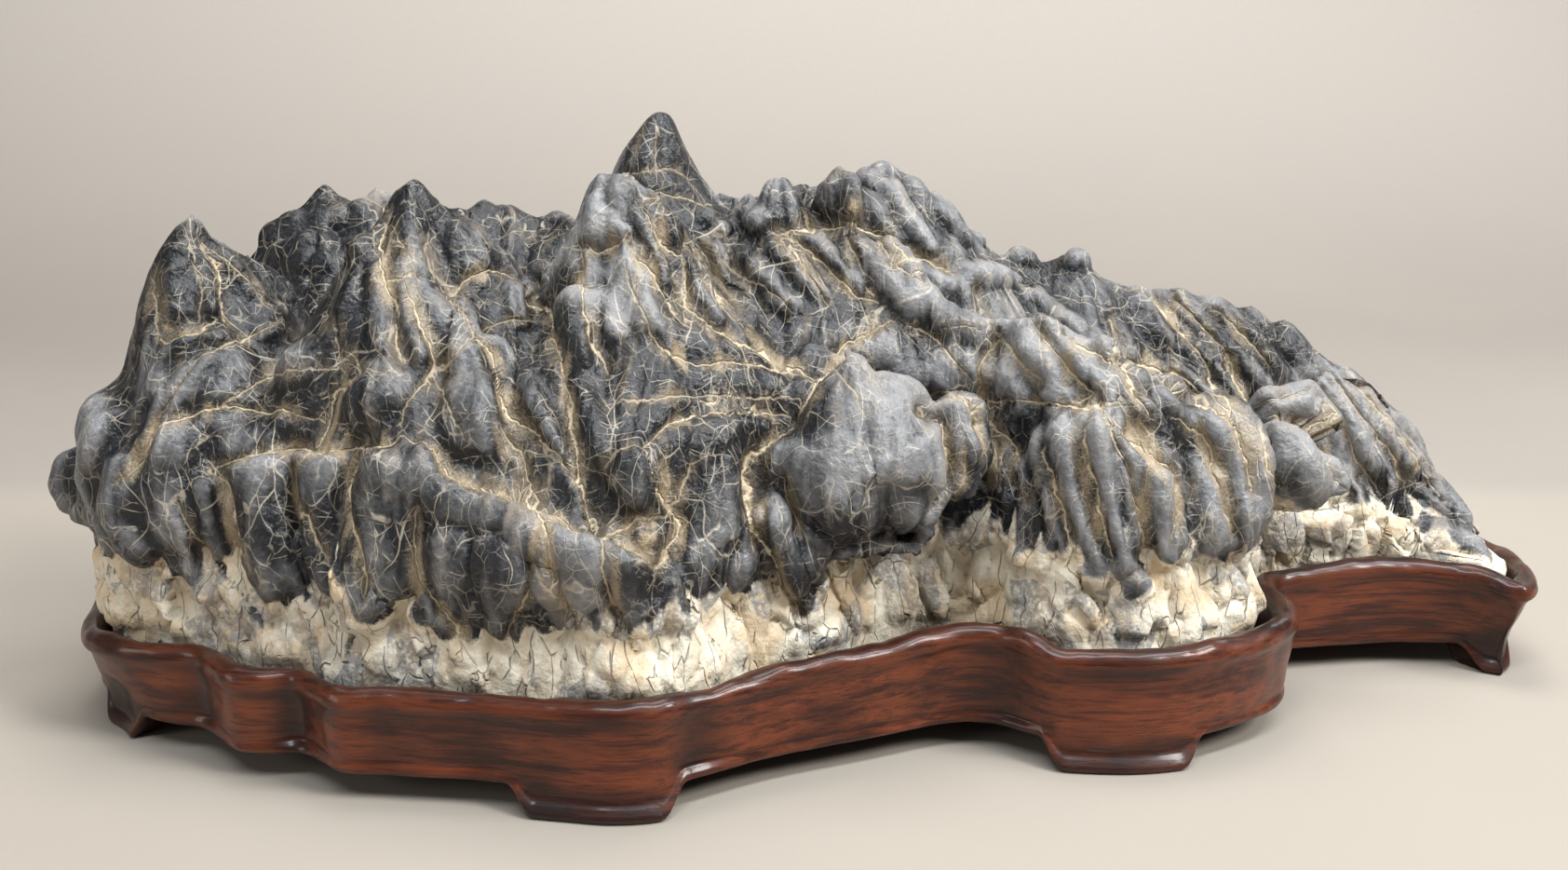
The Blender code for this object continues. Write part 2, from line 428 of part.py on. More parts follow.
    def relief(self, points):
        """Height of the relief lobes over the surface: rounded ribs that meet in sharp creases."""
        row = self.relief_lobe.T
        step = row[5:8] - row[:3]
        length = np.maximum((step * step).sum(0), 1e-6)
        out = np.empty(len(points), np.float32)
        for start in range(0, len(points), 6000):
            p = points[start:start + 6000].astype(np.float32)
            away, t = reach(p, row[:3], step, length)
            radius = row[3] + t * (row[8] - row[3])
            rise = LOBE_RISE * np.sqrt(radius) + row[4]
            rise = rise - LOBE_FALL * (np.hypot(away, radius) - radius)
            out[start:start + 6000] = np.maximum(rise.max(1), 0)
        low, high = RELIEF_FOOT
        return out * np.clip((points[:, 2] - low) / (high - low), 0, 1)

    def __call__(self, points):
        """Field at an (n, 3) array of points."""
        out = np.empty(len(points), np.float32)
        for start in range(0, len(points), 6000):
            p = self.warp(points[start:start + 6000].astype(np.float32))
            body, lobe = self.body(p), self.lobes(p)
            near = np.maximum(ROOT_FILLET - np.abs(lobe - body), 0)
            out[start:start + 6000] = np.minimum(lobe, body) - near**2 / (4 * ROOT_FILLET)
        return out

    def outward(self, points, reach_mm):
        """Unit direction out of the stone at each point, taken over a small reach."""
        slope = np.stack([self(points + step) - self(points - step)
                          for step in reach_mm * np.eye(3)], axis=1)
        return slope / np.linalg.norm(slope, axis=1)[:, None]


# ---------------------------------------------------------------- the stone's mesh
def by_length(curve, count):
    """Points spaced evenly by length along an open curve."""
    steps = np.hypot(*np.diff(curve[:, :2], axis=0).T)
    length = np.concatenate(((0,), np.cumsum(steps)))
    at = np.linspace(0, length[-1], count)
    return np.stack([np.interp(at, length, curve[:, k]) for k in range(curve.shape[1])], axis=1)


def stone_rays(field, along, up):
    """Start and direction of the ray for each grid place.

    along runs 0..1 from the west tip to the east tip; up runs 0 at the front foot, over the
    crest at 0.5, to 1 at the back foot.  The rays are level on the flanks, turn upright while
    they pass the shoulder and come straight down on the crown.
    """
    plan = field.plan
    east = int(np.argmax(plan[:, 0]))
    west = int(np.argmin(plan[:, 0]))
    loop = np.roll(plan, -west, axis=0)
    split = (east - west) % len(plan)
    front = by_length(loop[:split + 1], 400)
    back = by_length(np.concatenate((loop[split:], loop[:1]))[::-1], 400)
    share = np.linspace(0, 1, 400)
    spine = np.outer(1 - along, SPINE_WEST) + np.outer(along, SPINE_EAST)
    side = np.where((up <= 0.5)[:, None],
                    np.stack([np.interp(along, share, front[:, k]) for k in (0, 1)], axis=1),
                    np.stack([np.interp(along, share, back[:, k]) for k in (0, 1)], axis=1))
    outward = side - spine
    span = np.hypot(*outward.T)
    outward /= span[:, None]
    step = 1 - np.abs(2 * up - 1)
    knee = STONE_FLANK_ROWS / (STONE_FLANK_ROWS + STONE_CROWN_ROWS)
    top = np.interp(along, (0, 0.8, 1), (KNEE_LEVEL, KNEE_LEVEL, KNEE_EAST))
    level = STONE_BOTTOM + (top - STONE_BOTTOM) * np.clip(step / knee, 0, 1)
    crown = np.clip((step - knee) / (1 - knee), 0, 1)
    turned = np.clip(crown / 0.3, 0, 1)
    turn = 0.5 * math.pi * turned * turned * (3 - 2 * turned)
    inset = np.minimum(KNEE_INSET, 0.45 * span)
    pivot = spine + outward * ((span - inset) * (1 - crown))[:, None]
    direction = np.column_stack((-outward * np.cos(turn)[:, None], -np.sin(turn)))
    start = np.column_stack((pivot, level)) - direction * REACH
    return start, direction


def even_rows(placed, up):
    """Move the rows of each arch so that they lie evenly along it, arch by arch smoothly."""
    step = np.linalg.norm(np.diff(placed, axis=1), axis=2)
    step = np.minimum(step, 4 * np.median(step)) + 0.15 * step.mean()
    for _ in range(6):
        step[1:-1] = (step[:-2] + 2 * step[1:-1] + step[2:]) / 4
        step[:, 1:-1] = (step[:, :-2] + 2 * step[:, 1:-1] + step[:, 2:]) / 4
    half = step.shape[1] // 2
    moved = np.empty_like(up)
    for k, arch in enumerate(step):
        for part, rows in ((arch[:half], slice(0, half + 1)), (arch[half:], slice(half, None))):
            length = np.concatenate(((0,), np.cumsum(part)))
            even = np.linspace(0, length[-1], half + 1)
            moved[k, rows] = np.interp(even, length, up[k, rows])
    return moved


def strike(field, start, direction):
    """First place where each ray meets the stone, found by stepping the field's distance."""
    far = np.zeros(len(start))
    live = np.arange(len(start))
    for _ in range(160):
        gap = field(start[live] + direction[live] * far[live, None])
        far[live] += np.clip(gap * 0.8, 0.02, 20)
        live = live[(gap > 0.04) & (far[live] < REACH)]
        if not len(live):
            break
    return start + direction * far[:, None]


def drape(field, along, up):
    """Points of the stone's surface for a whole table of grid places."""
    start, direction = stone_rays(field, along.ravel(), up.ravel())
    return strike(field, start, direction).reshape(*along.shape, 3)


def new_object(name, bm, collection, material):
    """Put a finished bmesh, in millimetres, into a smooth-shaded object in metres."""
    bmesh.ops.translate(bm, vec=(-MIDDLE[0], -MIDDLE[1], 0), verts=bm.verts)
    bmesh.ops.scale(bm, vec=(MM, MM, MM), verts=bm.verts)
    mesh = bpy.data.meshes.new(name)
    bm.to_mesh(mesh)
    bm.free()
    mesh.materials.append(material)
    mesh.shade_smooth()
    obj = bpy.data.objects.new(name, mesh)
    collection.objects.link(obj)
    return obj


def build_stone(collection, material):
    """Drape a grid over the field, close its foot, then thin it to the facets that matter."""
    field = Stone()
    rows = 2 * (STONE_FLANK_ROWS + STONE_CROWN_ROWS)
    bm = bmesh.new()
    bmesh.ops.create_grid(bm, x_segments=STONE_ARCHES, y_segments=rows, size=0.5)
    flat = np.array([v.co for v in bm.verts]) + 0.5
    arch = np.round(flat[:, 0] * STONE_ARCHES).astype(int)
    row = np.round(flat[:, 1] * rows).astype(int)
    along, up = np.meshgrid(np.linspace(0, 1, STONE_ARCHES + 1), np.linspace(0, 1, rows + 1),
                            indexing="ij")
    placed = drape(field, along, up)
    placed = drape(field, along, even_rows(placed, up)).reshape(-1, 3)
    placed += field.outward(placed, OUTWARD_REACH) * field.relief(placed)[:, None]
    placed = placed.reshape(*along.shape, 3)
    for vert, place in zip(bm.verts, placed[arch, row]):
        vert.co = place
    bmesh.ops.remove_doubles(bm, verts=bm.verts, dist=0.001)
    bmesh.ops.dissolve_degenerate(bm, edges=bm.edges, dist=0.001)
    rim = [e for e in bm.edges if e.is_boundary]
    bmesh.ops.contextual_create(bm, geom=rim)
    bmesh.ops.triangulate(bm, faces=bm.faces)
    bmesh.ops.recalc_face_normals(bm, faces=bm.faces)
    triangles = len(bm.faces)
    stone = new_object("stone", bm, collection, material)
    thin = stone.modifiers.new("Facets", "DECIMATE")
    thin.ratio = STONE_TRIANGLES / triangles
    return stone


# ---------------------------------------------------------------- the stand
def stand_sections():
    """Outline samples, their outward directions, the share of a foot and the set-back at each."""
    curve = smooth_loop(STAND_RIM, 12)
    closed = np.concatenate((curve, curve[:1]))
    line = by_length(closed, STAND_SECTIONS + 1)[:-1]
    ahead, behind = np.roll(line, -1, 0), np.roll(line, 1, 0)
    run = ahead[:, :2] - behind[:, :2]
    outward = np.stack((run[:, 1], -run[:, 0]), axis=1)
    outward /= np.hypot(*outward.T)[:, None]
    foot = np.zeros(len(line))
    inset = np.zeros(len(line))
    for x, y, half, set_back in FEET:
        gap = np.hypot(line[:, 0] - x, line[:, 1] - y)
        foot = np.maximum(foot, np.clip((half - gap) / FOOT_SHOULDER + 0.5, 0, 1))
        inset = np.maximum(inset, set_back * np.exp(-(gap / (1.4 * half))**2))
    return line, outward, foot, inset


def blurred(values, reach):
    """Average a closed row of directions over reach neighbours on each side."""
    total = sum(np.roll(values, k, 0) for k in range(-reach, reach + 1))
    return total / np.hypot(*total.T)[:, None]


def build_stand(collection, material):
    """Loft the wall's section along the outline, then close the seat and the underside."""
    line, outward, foot, inset = stand_sections()
    near, wide = blurred(outward, 1), blurred(outward, 3)
    rim = line[:, 2]
    bottom = WALL_BOTTOM * (1 - foot)
    flare = FOOT_FLARE * foot
    rings = (
        (wide, -FOOT_DEPTH - 4, WALL_BOTTOM + 0 * foot),
        (wide, -FOOT_DEPTH + 0 * foot, bottom),
        (near, -4.0 + flare - inset, bottom),
        (near, -2.6 + flare - inset, bottom + 1.6),
        (near, -2.8 + 0.4 * flare - 0.9 * inset, WALL_BOTTOM + 1.5 - 1.5 * foot),
        (near, -1.6 - 0.55 * inset, WALL_BOTTOM + 7 + 0 * foot),
        (near, -1.4 - 0.2 * inset, rim - 9),
        (near, 0 * foot, rim - 2.6),
        (near, -1.3 + 0 * foot, rim - 0.3),
        (near, -5.2 + 0 * foot, rim - 0.6),
        (near, -RIM_WIDTH + 0 * foot, rim - 3),
        (near, -RIM_WIDTH - 0.3 + 0 * foot, SEAT + 0 * foot),
    )
    bm = bmesh.new()
    loops = []
    for direction, offset, height in rings:
        place = line[:, :2] + direction * np.broadcast_to(offset, foot.shape)[:, None]
        loops.append([bm.verts.new((x, y, z)) for (x, y), z in zip(place, height)])
    count = len(line)
    for low, high in zip(loops, loops[1:]):
        for k in range(count):
            n = (k + 1) % count
            bm.faces.new((low[k], low[n], high[n], high[k]))
    bmesh.ops.triangulate(bm, faces=bm.faces)
    for loop in (loops[0], loops[-1]):
        ring = [bm.edges.get((a, b)) for a, b in zip(loop, loop[1:] + loop[:1])]
        bmesh.ops.triangle_fill(bm, edges=ring, use_beauty=True)
    bmesh.ops.recalc_face_normals(bm, faces=bm.faces)
    return new_object("stand", bm, collection, material)


# ---------------------------------------------------------------- scene
def finish(name, colour, roughness):
    """Principled material with a plain colour."""
    material = bpy.data.materials.new(name)
    material.use_nodes = True
    shader = material.node_tree.nodes["Principled BSDF"]
    shader.inputs["Base Color"].default_value = (*colour, 1)
    shader.inputs["Roughness"].default_value = roughness
    shader.inputs["Metallic"].default_value = 0.0
    return material


def main():
    """Clear the scene and build the stone and its stand."""
    for old in list(bpy.data.objects):
        bpy.data.objects.remove(old, do_unlink=True)
    collection = bpy.data.collections.new("scholars_rock")
    bpy.context.scene.collection.children.link(collection)
    build_stone(collection, finish("slate limestone", (0.075, 0.075, 0.08), 0.5))
    build_stand(collection, finish("rosewood", (0.09, 0.022, 0.012), 0.35))


if __name__ == "__main__":
    main()
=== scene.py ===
"""Looks of a mountain-shaped scholar's rock resting in its carved rosewood stand.

The stone is one closed skin.  Its main shape is a field of ridges, flanks and free lobes in
millimetres, met by rays; relief lobes, named creases, eroded ribs, chips and grain are then
raised square to the skin.  The stand is one section carried round its wavy outline.
"""
import logging
import math
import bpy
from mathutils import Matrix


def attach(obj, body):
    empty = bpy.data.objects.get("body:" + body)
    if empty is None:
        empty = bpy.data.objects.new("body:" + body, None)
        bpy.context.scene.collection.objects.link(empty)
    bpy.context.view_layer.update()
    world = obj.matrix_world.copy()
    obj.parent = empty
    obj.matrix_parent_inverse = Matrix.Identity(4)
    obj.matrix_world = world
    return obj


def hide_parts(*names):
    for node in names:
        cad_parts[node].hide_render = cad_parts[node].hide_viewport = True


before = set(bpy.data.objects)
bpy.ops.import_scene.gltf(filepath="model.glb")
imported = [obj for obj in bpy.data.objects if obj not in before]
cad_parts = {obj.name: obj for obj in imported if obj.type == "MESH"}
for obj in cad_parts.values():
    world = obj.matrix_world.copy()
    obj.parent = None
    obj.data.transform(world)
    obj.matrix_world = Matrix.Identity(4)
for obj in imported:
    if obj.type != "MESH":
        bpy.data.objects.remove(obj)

from concurrent.futures import ThreadPoolExecutor
from dataclasses import dataclass, field
from enum import Enum
from typing import Callable, Iterable, Sequence, Union

import bmesh
import bpy
import numpy as np

logging.basicConfig(level=logging.INFO, format="%(message)s")
LOG = logging.getLogger("scholars_rock")

MM = 0.001
MIDDLE = (-2.15, 1.3)       # middle of the whole object's box, which is the origin
SEAT = 15.0                 # top of the stand's seat
STONE_BOTTOM = SEAT + 0.4   # underside of the stone
BLOCK = 5000                # points worked out at a time by one core
WALK_PACE = 0.8             # share of the field's distance that one step of a walk covers

Array = np.ndarray
Socket = bpy.types.NodeSocket

# Plan of the stone where it enters the stand, clockwise from the west tip along the front.
STONE_PLAN = (
    (-231, 10), (-230, -20), (-220, -42), (-198, -51), (-178, -59), (-164, -68), (-153, -69),
    (-142, -75), (-109, -84), (-62, -93), (-48, -92), (-36, -84), (-26, -71), (-7, -60), (2, -52),
    (12, -42), (24, -35), (42, -35), (52, -41), (62, -53), (80, -60), (100, -59), (113, -50),
    (128, -41),
    (132, -31), (130, -12), (148, 14), (175, 15), (198, 15), (212, 13), (222, 6), (230, 14),
    (227, 42), (208, 63), (178, 77), (140, 86), (95, 92), (45, 95), (0, 96), (-50, 95),
    (-100, 92), (-150, 86), (-192, 72), (-220, 44),
)

# Outer edge of the stand's rim, from the west tip along the front: (x, y, height of the rim).
STAND_RIM = (
    (-241, 10, 34), (-239, -12, 33), (-235, -32, 32), (-226, -48, 33), (-213, -58, 34),
    (-198, -62, 34), (-189, -64, 34), (-181, -71, 34), (-173, -79, 34), (-163, -81, 34),
    (-154, -81, 34), (-147, -86, 34), (-138, -93, 34), (-120, -95, 34), (-98, -98, 34),
    (-75, -102, 34), (-61, -104, 34), (-48, -102, 34), (-36, -95, 34), (-24, -87, 35),
    (-12, -81, 36), (14, -70, 37), (34, -61, 39), (46, -61, 40), (55, -67, 39), (63, -72, 37),
    (75, -74, 37), (90, -74, 37), (106, -70, 37), (123, -61, 37), (136, -51, 37),
    (143, -40, 37), (146, -26, 37), (145, -14, 36), (149, -5, 36), (158, -2, 37),
    (176, 1, 39), (192, 3, 39), (206, 1, 38), (215, -3, 37), (222, -9, 36), (228, -11, 35),
    (235, -3, 35), (240, 12, 35), (241, 30, 35), (236, 50, 35), (222, 70, 35), (195, 85, 35),
    (160, 94, 36), (110, 102, 36), (50, 106, 37), (0, 106, 36), (-50, 105, 36),
    (-100, 102, 35), (-150, 96, 35), (-192, 84, 34), (-224, 58, 34), (-238, 34, 34),
)

# Feet: (x, y of the outline point over the middle, half length, set back from the wall).
FEET = (
    (-224, -50, 13, 8), (-66, -103, 22, 0), (84, -75, 22, 0), (229, -10, 16, 9),
    (190, 87, 20, 0), (10, 106, 22, 0), (-150, 96, 22, 0),
)

# Ridges: (slope under the crest, slope far below, flare length, crest radius, crest points).
RIDGES = {
    "west spire": (3.0, 1.0, 24, 3.5, ((-196, -22, 154), (-193, -20, 156))),
    "west spire back": (2.2, 0.9, 20, 3.0, ((-193, -20, 155), (-187, -15, 146), (-174, 0, 134))),
    "west edge": (2.4, 1.2, 20, 4.0, ((-196, -24, 150), (-201, -26, 135), (-205, -30, 117),
        (-209, -30, 104), (-216, -30, 94), (-225, -28, 85), (-232, -26, 78))),
    "north west": (1.8, 0.9, 18, 4.0, ((-196, 35, 134), (-185, 45, 149), (-175, 50, 159),
        (-171, 50, 158))),
    "north comb": (1.5, 0.8, 16, 3.0, ((-165, 50, 151), (-158, 50, 158), (-152, 50, 157),
        (-148, 50, 151), (-131, 55, 150), (-122, 58, 151), (-113, 60, 152), (-102, 58, 147),
        (-92, 55, 149), (-77, 45, 147), (-57, 30, 150))),
    "west tower": (2.3, 1.1, 22, 3.0, ((-125, -22, 167), (-130, -24, 163), (-136, -30, 150),
        (-141, -40, 138), (-146, -50, 128))),
    "west tower east": (1.9, 1.0, 20, 4.0, ((-125, -22, 167), (-117, -20, 157), (-100, -18, 143),
        (-90, -20, 134))),
    "west tower front": (2.6, 1.2, 12, 3.0, ((-125, -24, 163), (-124, -35, 150), (-124, -50, 132),
        (-122, -63, 113))),
    "west tower south east": (1.4, 0.9, 14, 4.0, ((-116, -22, 153), (-104, -45, 126),
        (-95, -55, 114), (-80, -70, 96), (-66, -82, 77))),
    "twin tower": (3.2, 1.0, 26, 4.0, ((-69, -27, 168), (-61, -26, 168), (-55, -26, 165))),
    "twin tower east": (1.9, 0.9, 18, 3.0, ((-53, -26, 163), (-48, -25, 157), (-43, -24, 149))),
    "twin tower front": (2.6, 1.2, 16, 3.0, ((-66, -32, 158), (-60, -40, 151), (-55, -48, 136),
        (-51, -56, 122))),
    "twin tower west": (2.4, 1.0, 12, 3.0, ((-72, -38, 145), (-75, -46, 138), (-72, -54, 126),
        (-66, -60, 103), (-57, -68, 90), (-52, -75, 78))),
    "horn": (2.6, 1.0, 34, 6.5, ((-55, 16, 185), (-54, 16, 185))),
    "horn skirt": (2.0, 0.9, 20, 4.0, ((-50, 15, 170), (-42, 14, 164), (-34, 12, 155))),
    "saddle": (1.8, 0.8, 12, 3.0, ((-36, 28, 159), (-28, 28, 156), (-9, 28, 159), (-3, 25, 161))),
    "saddle cone": (2.4, 0.9, 14, 3.0, ((-26, 14, 160), (-25, 14, 160))),
    "saddle tower": (3.0, 0.9, 20, 4.0, ((-18, 4, 166), (-14, 4, 166))),
    "east tower": (3.2, 0.9, 22, 4.0, ((-2, 12, 163), (4, 10, 166), (8, 8, 165))),
    "east tower crown": (2.4, 0.9, 22, 5.0, ((12, 20, 166), (18, 20, 168), (24, 20, 166))),
    "east tower fall": (2.2, 0.9, 18, 4.0, ((24, 20, 164), (35, 24, 160), (41, 28, 156),
        (49, 36, 142), (59, 38, 136))),
    "east crest": (1.5, 1.0, 20, 5.0, ((59, 38, 134), (66, 40, 136), (75, 40, 133), (85, 40, 138),
        (96, 40, 129), (108, 42, 124), (134, 42, 121), (158, 42, 112), (179, 40, 97), (199, 37, 80),
        (219, 30, 56), (227, 24, 42))),
    "middle east": (1.9, 0.8, 14, 4.0, ((-19, -2, 146), (-8, -4, 147), (16, -8, 146),
        (24, -10, 140), (30, -12, 133))),
    "knob": (1.9, 0.9, 14, 5.0, ((30, -22, 132), (25, -30, 127), (17, -38, 123), (7, -46, 117),
        (0, -52, 111))),
    "south east": (1.7, 0.8, 12, 4.0, ((30, -20, 133), (46, -22, 130), (63, -24, 126),
        (79, -30, 117), (96, -34, 109), (109, -36, 102), (122, -38, 91))),
    "terrace": (1.1, 0.8, 20, 16.0, ((-206, -36, 98), (-172, -48, 106), (-145, -54, 109),
        (-126, -60, 108))),
    "basin": (0.9, 0.7, 20, 16.0, ((-47, -55, 108), (-26, -50, 112), (-7, -35, 117),
        (12, -20, 123))),
    "basin lip": (1.0, 0.8, 20, 10.0, ((-44, -64, 104), (-34, -66, 105), (-18, -62, 103))),
    "front east": (1.0, 0.7, 20, 12.0, ((27, -46, 106), (43, -48, 104), (73, -46, 104),
        (90, -44, 102), (110, -40, 98), (124, -38, 87))),
    "back terrace": (1.1, 0.9, 30, 15.0, ((-190, 30, 110), (-120, 55, 120), (-40, 60, 122),
        (40, 60, 120), (110, 52, 108), (165, 45, 92))),
}

# Rounded lobes on the steep faces: (extra height, chain of (x, z, radius)).  Each chain is
# pushed onto the body from the front.
WALL_LOBES = {
    "west shoulder": (0, ((-213, 101, 5), (-217, 91, 6.5), (-221, 80, 5.5), (-217, 68, 4.5),
        (-215, 60, 2.5))),
    "west hollow lobe": (4, ((-206, 83, 6), (-208, 74, 7), (-205, 65, 5), (-204, 60, 2))),
    "west dome": (2, ((-194, 92, 11), (-194, 80, 10.5), (-191, 71, 8), (-190, 58, 4.5),
        (-185, 49, 2))),
    "west dome rib": (2, ((-182, 82, 5), (-181, 70, 4), (-179, 58, 3), (-173, 48, 3),
        (-167, 43, 2))),
    "west face": (1, ((-168, 86, 14.5), (-167, 76, 14.5), (-163, 65, 13), (-159, 56, 9))),
    "west face rib": (1, ((-145, 90, 9), (-145, 79, 9), (-144, 67, 7.5), (-142, 59, 4))),
    "west face tongue": (1, ((-152, 66, 4), (-152, 51, 1.5))),
    "great dome": (3, ((-122, 90, 14), (-126, 80, 12), (-127, 68, 9.5), (-129, 58, 7.5),
        (-133, 48, 3))),
    "great dome east": (2, ((-117, 87, 12.5), (-119, 75, 10), (-118, 66, 6), (-120, 58, 3))),
    "ledge roll": (4, ((-109, 84, 6), (-100, 81, 6.5), (-90, 79, 6.5), (-79, 76, 6), (-66, 73, 5),
        (-53, 67, 5))),
    "ledge face west": (2, ((-105, 72, 12), (-104, 62, 10), (-100, 53, 7.5))),
    "ledge face east": (2, ((-90, 71, 12), (-88, 63, 9), (-92, 52, 5.5))),
    "ledge tongue": (3, ((-116, 63, 3), (-113, 54, 3), (-108, 48, 1.5))),
    "notch tooth": (2, ((-82, 58, 3.5), (-79, 52, 2.5))),
    "ledge finger a": (2, ((-78, 73, 6), (-75, 64, 4.5), (-75, 55, 2.5))),
    "ledge finger b": (2, ((-69, 71, 4.5), (-68, 63, 4), (-66, 54, 2.5))),
    "ledge finger c": (2, ((-58, 66, 6.5), (-55, 58, 4))),
    "ledge finger d": (2, ((-47, 62, 6), (-45, 56, 3.5))),
    "valley wall": (0, ((-56, 96, 10), (-53, 89, 8.5), (-51, 83, 4))),
    "valley deposit": (0, ((-53, 75, 6), (-49, 73, 4))),
    "south dome": (2, ((-31, 95, 12.5), (-33, 85, 12.5), (-34, 74, 11.5), (-38, 67, 8.5),
        (-40, 62, 4.5))),
    "south dome east": (2, ((-27, 73, 7.5), (-28, 64, 7), (-29, 59, 3.5))),
    "fang": (3, ((-20, 72, 4.5), (-17, 62, 4.5), (-13, 50, 3.5), (-8, 43, 1.5))),
    "fang back": (1, ((-10, 61, 4.5), (-8, 51, 3), (-8, 45, 2))),
    "small tongue": (0, ((50, 81, 5), (53, 71, 5), (53, 65, 2.5))),
    "tongue a": (1, ((57, 82, 4.5), (59, 70, 3.5), (58, 58, 1.5))),
    "tongue b": (1, ((62, 90, 4.5), (64, 77, 4.5), (67, 65, 3), (69, 59, 1.5))),
    "finger a": (3, ((69, 92, 6.5), (69, 81, 5.5), (73, 70, 4), (77, 59, 2))),
    "finger b": (4, ((76, 96, 6.5), (77, 83, 6), (80, 70, 5.5), (84, 59, 4.5), (88, 52, 2))),
    "finger c": (3, ((84, 89, 5), (86, 78, 5), (89, 68, 3.5), (89, 58, 2.5))),
    "finger d": (3, ((93, 86, 7), (95, 76, 7), (96, 66, 4.5), (97, 61, 2))),
    "finger e": (3, ((111, 79, 8), (112, 70, 8), (114, 63, 4.5))),
    "finger f": (6, ((117, 93, 9), (121, 82, 8.5), (120, 70, 7.5), (119, 63, 3.5))),
    "finger g": (0, ((146, 77, 5), (150, 65, 5), (145, 53, 3.5))),
    "far rib a": (0, ((172, 89, 6.5), (180, 76, 6.5), (192, 61, 6), (200, 48, 2.5))),
    "far rib b": (0, ((184, 88, 6.5), (196, 72, 7.5), (210, 55, 6), (219, 48, 3.5))),
    "far base": (1, ((160, 44, 10), (178, 42, 9), (207, 40, 10), (221, 38, 5.5), (227, 36, 3.5))),
    "far rib c": (0, ((180, 58, 4), (181, 45, 5), (176, 38, 2))),
    "west edge rib": (0, ((-185, 117, 4), (-190, 108, 4.5), (-199, 98, 4))),
    "long rib": (0, ((-97, 121, 5.5), (-89, 112, 6), (-81, 104, 5.5), (-73, 92, 4.5),
        (-68, 83, 2.5))),
    "valley rib": (0, ((-78, 116, 6), (-69, 105, 6.5), (-64, 97, 5.5))),
    "mantle shoulder east": (0, ((30, 108, 7.5), (39, 98, 6.5), (45, 90, 4.5))),
    "shell side": (0, ((53, 107, 5), (58, 100, 4.5))),
    "long crest c": (0, ((99, 105, 5), (115, 100, 6), (125, 93, 7), (136, 81, 5.5))),
    "face rib b": (0, ((83, 110, 4.5), (91, 102, 4), (97, 93, 3))),
    "face rib c": (0, ((97, 105, 4.5), (105, 95, 4.5), (110, 86, 3))),
    "crest rib a": (0, ((109, 121, 6), (124, 105, 6), (140, 87, 5.5), (150, 70, 3.5))),
    "crest rib b": (0, ((121, 120, 5.5), (134, 106, 5.5), (151, 90, 4.5))),
    "crest rib c": (0, ((133, 118, 5.5), (148, 104, 5.5), (165, 89, 4.5))),
    "crest rib d": (0, ((145, 115, 5.5), (161, 101, 5.5), (173, 89, 4.5))),
    "crest rib e": (0, ((158, 109, 5.5), (174, 94, 6), (188, 78, 5.5), (206, 60, 4.5),
        (216, 49, 3))),
}

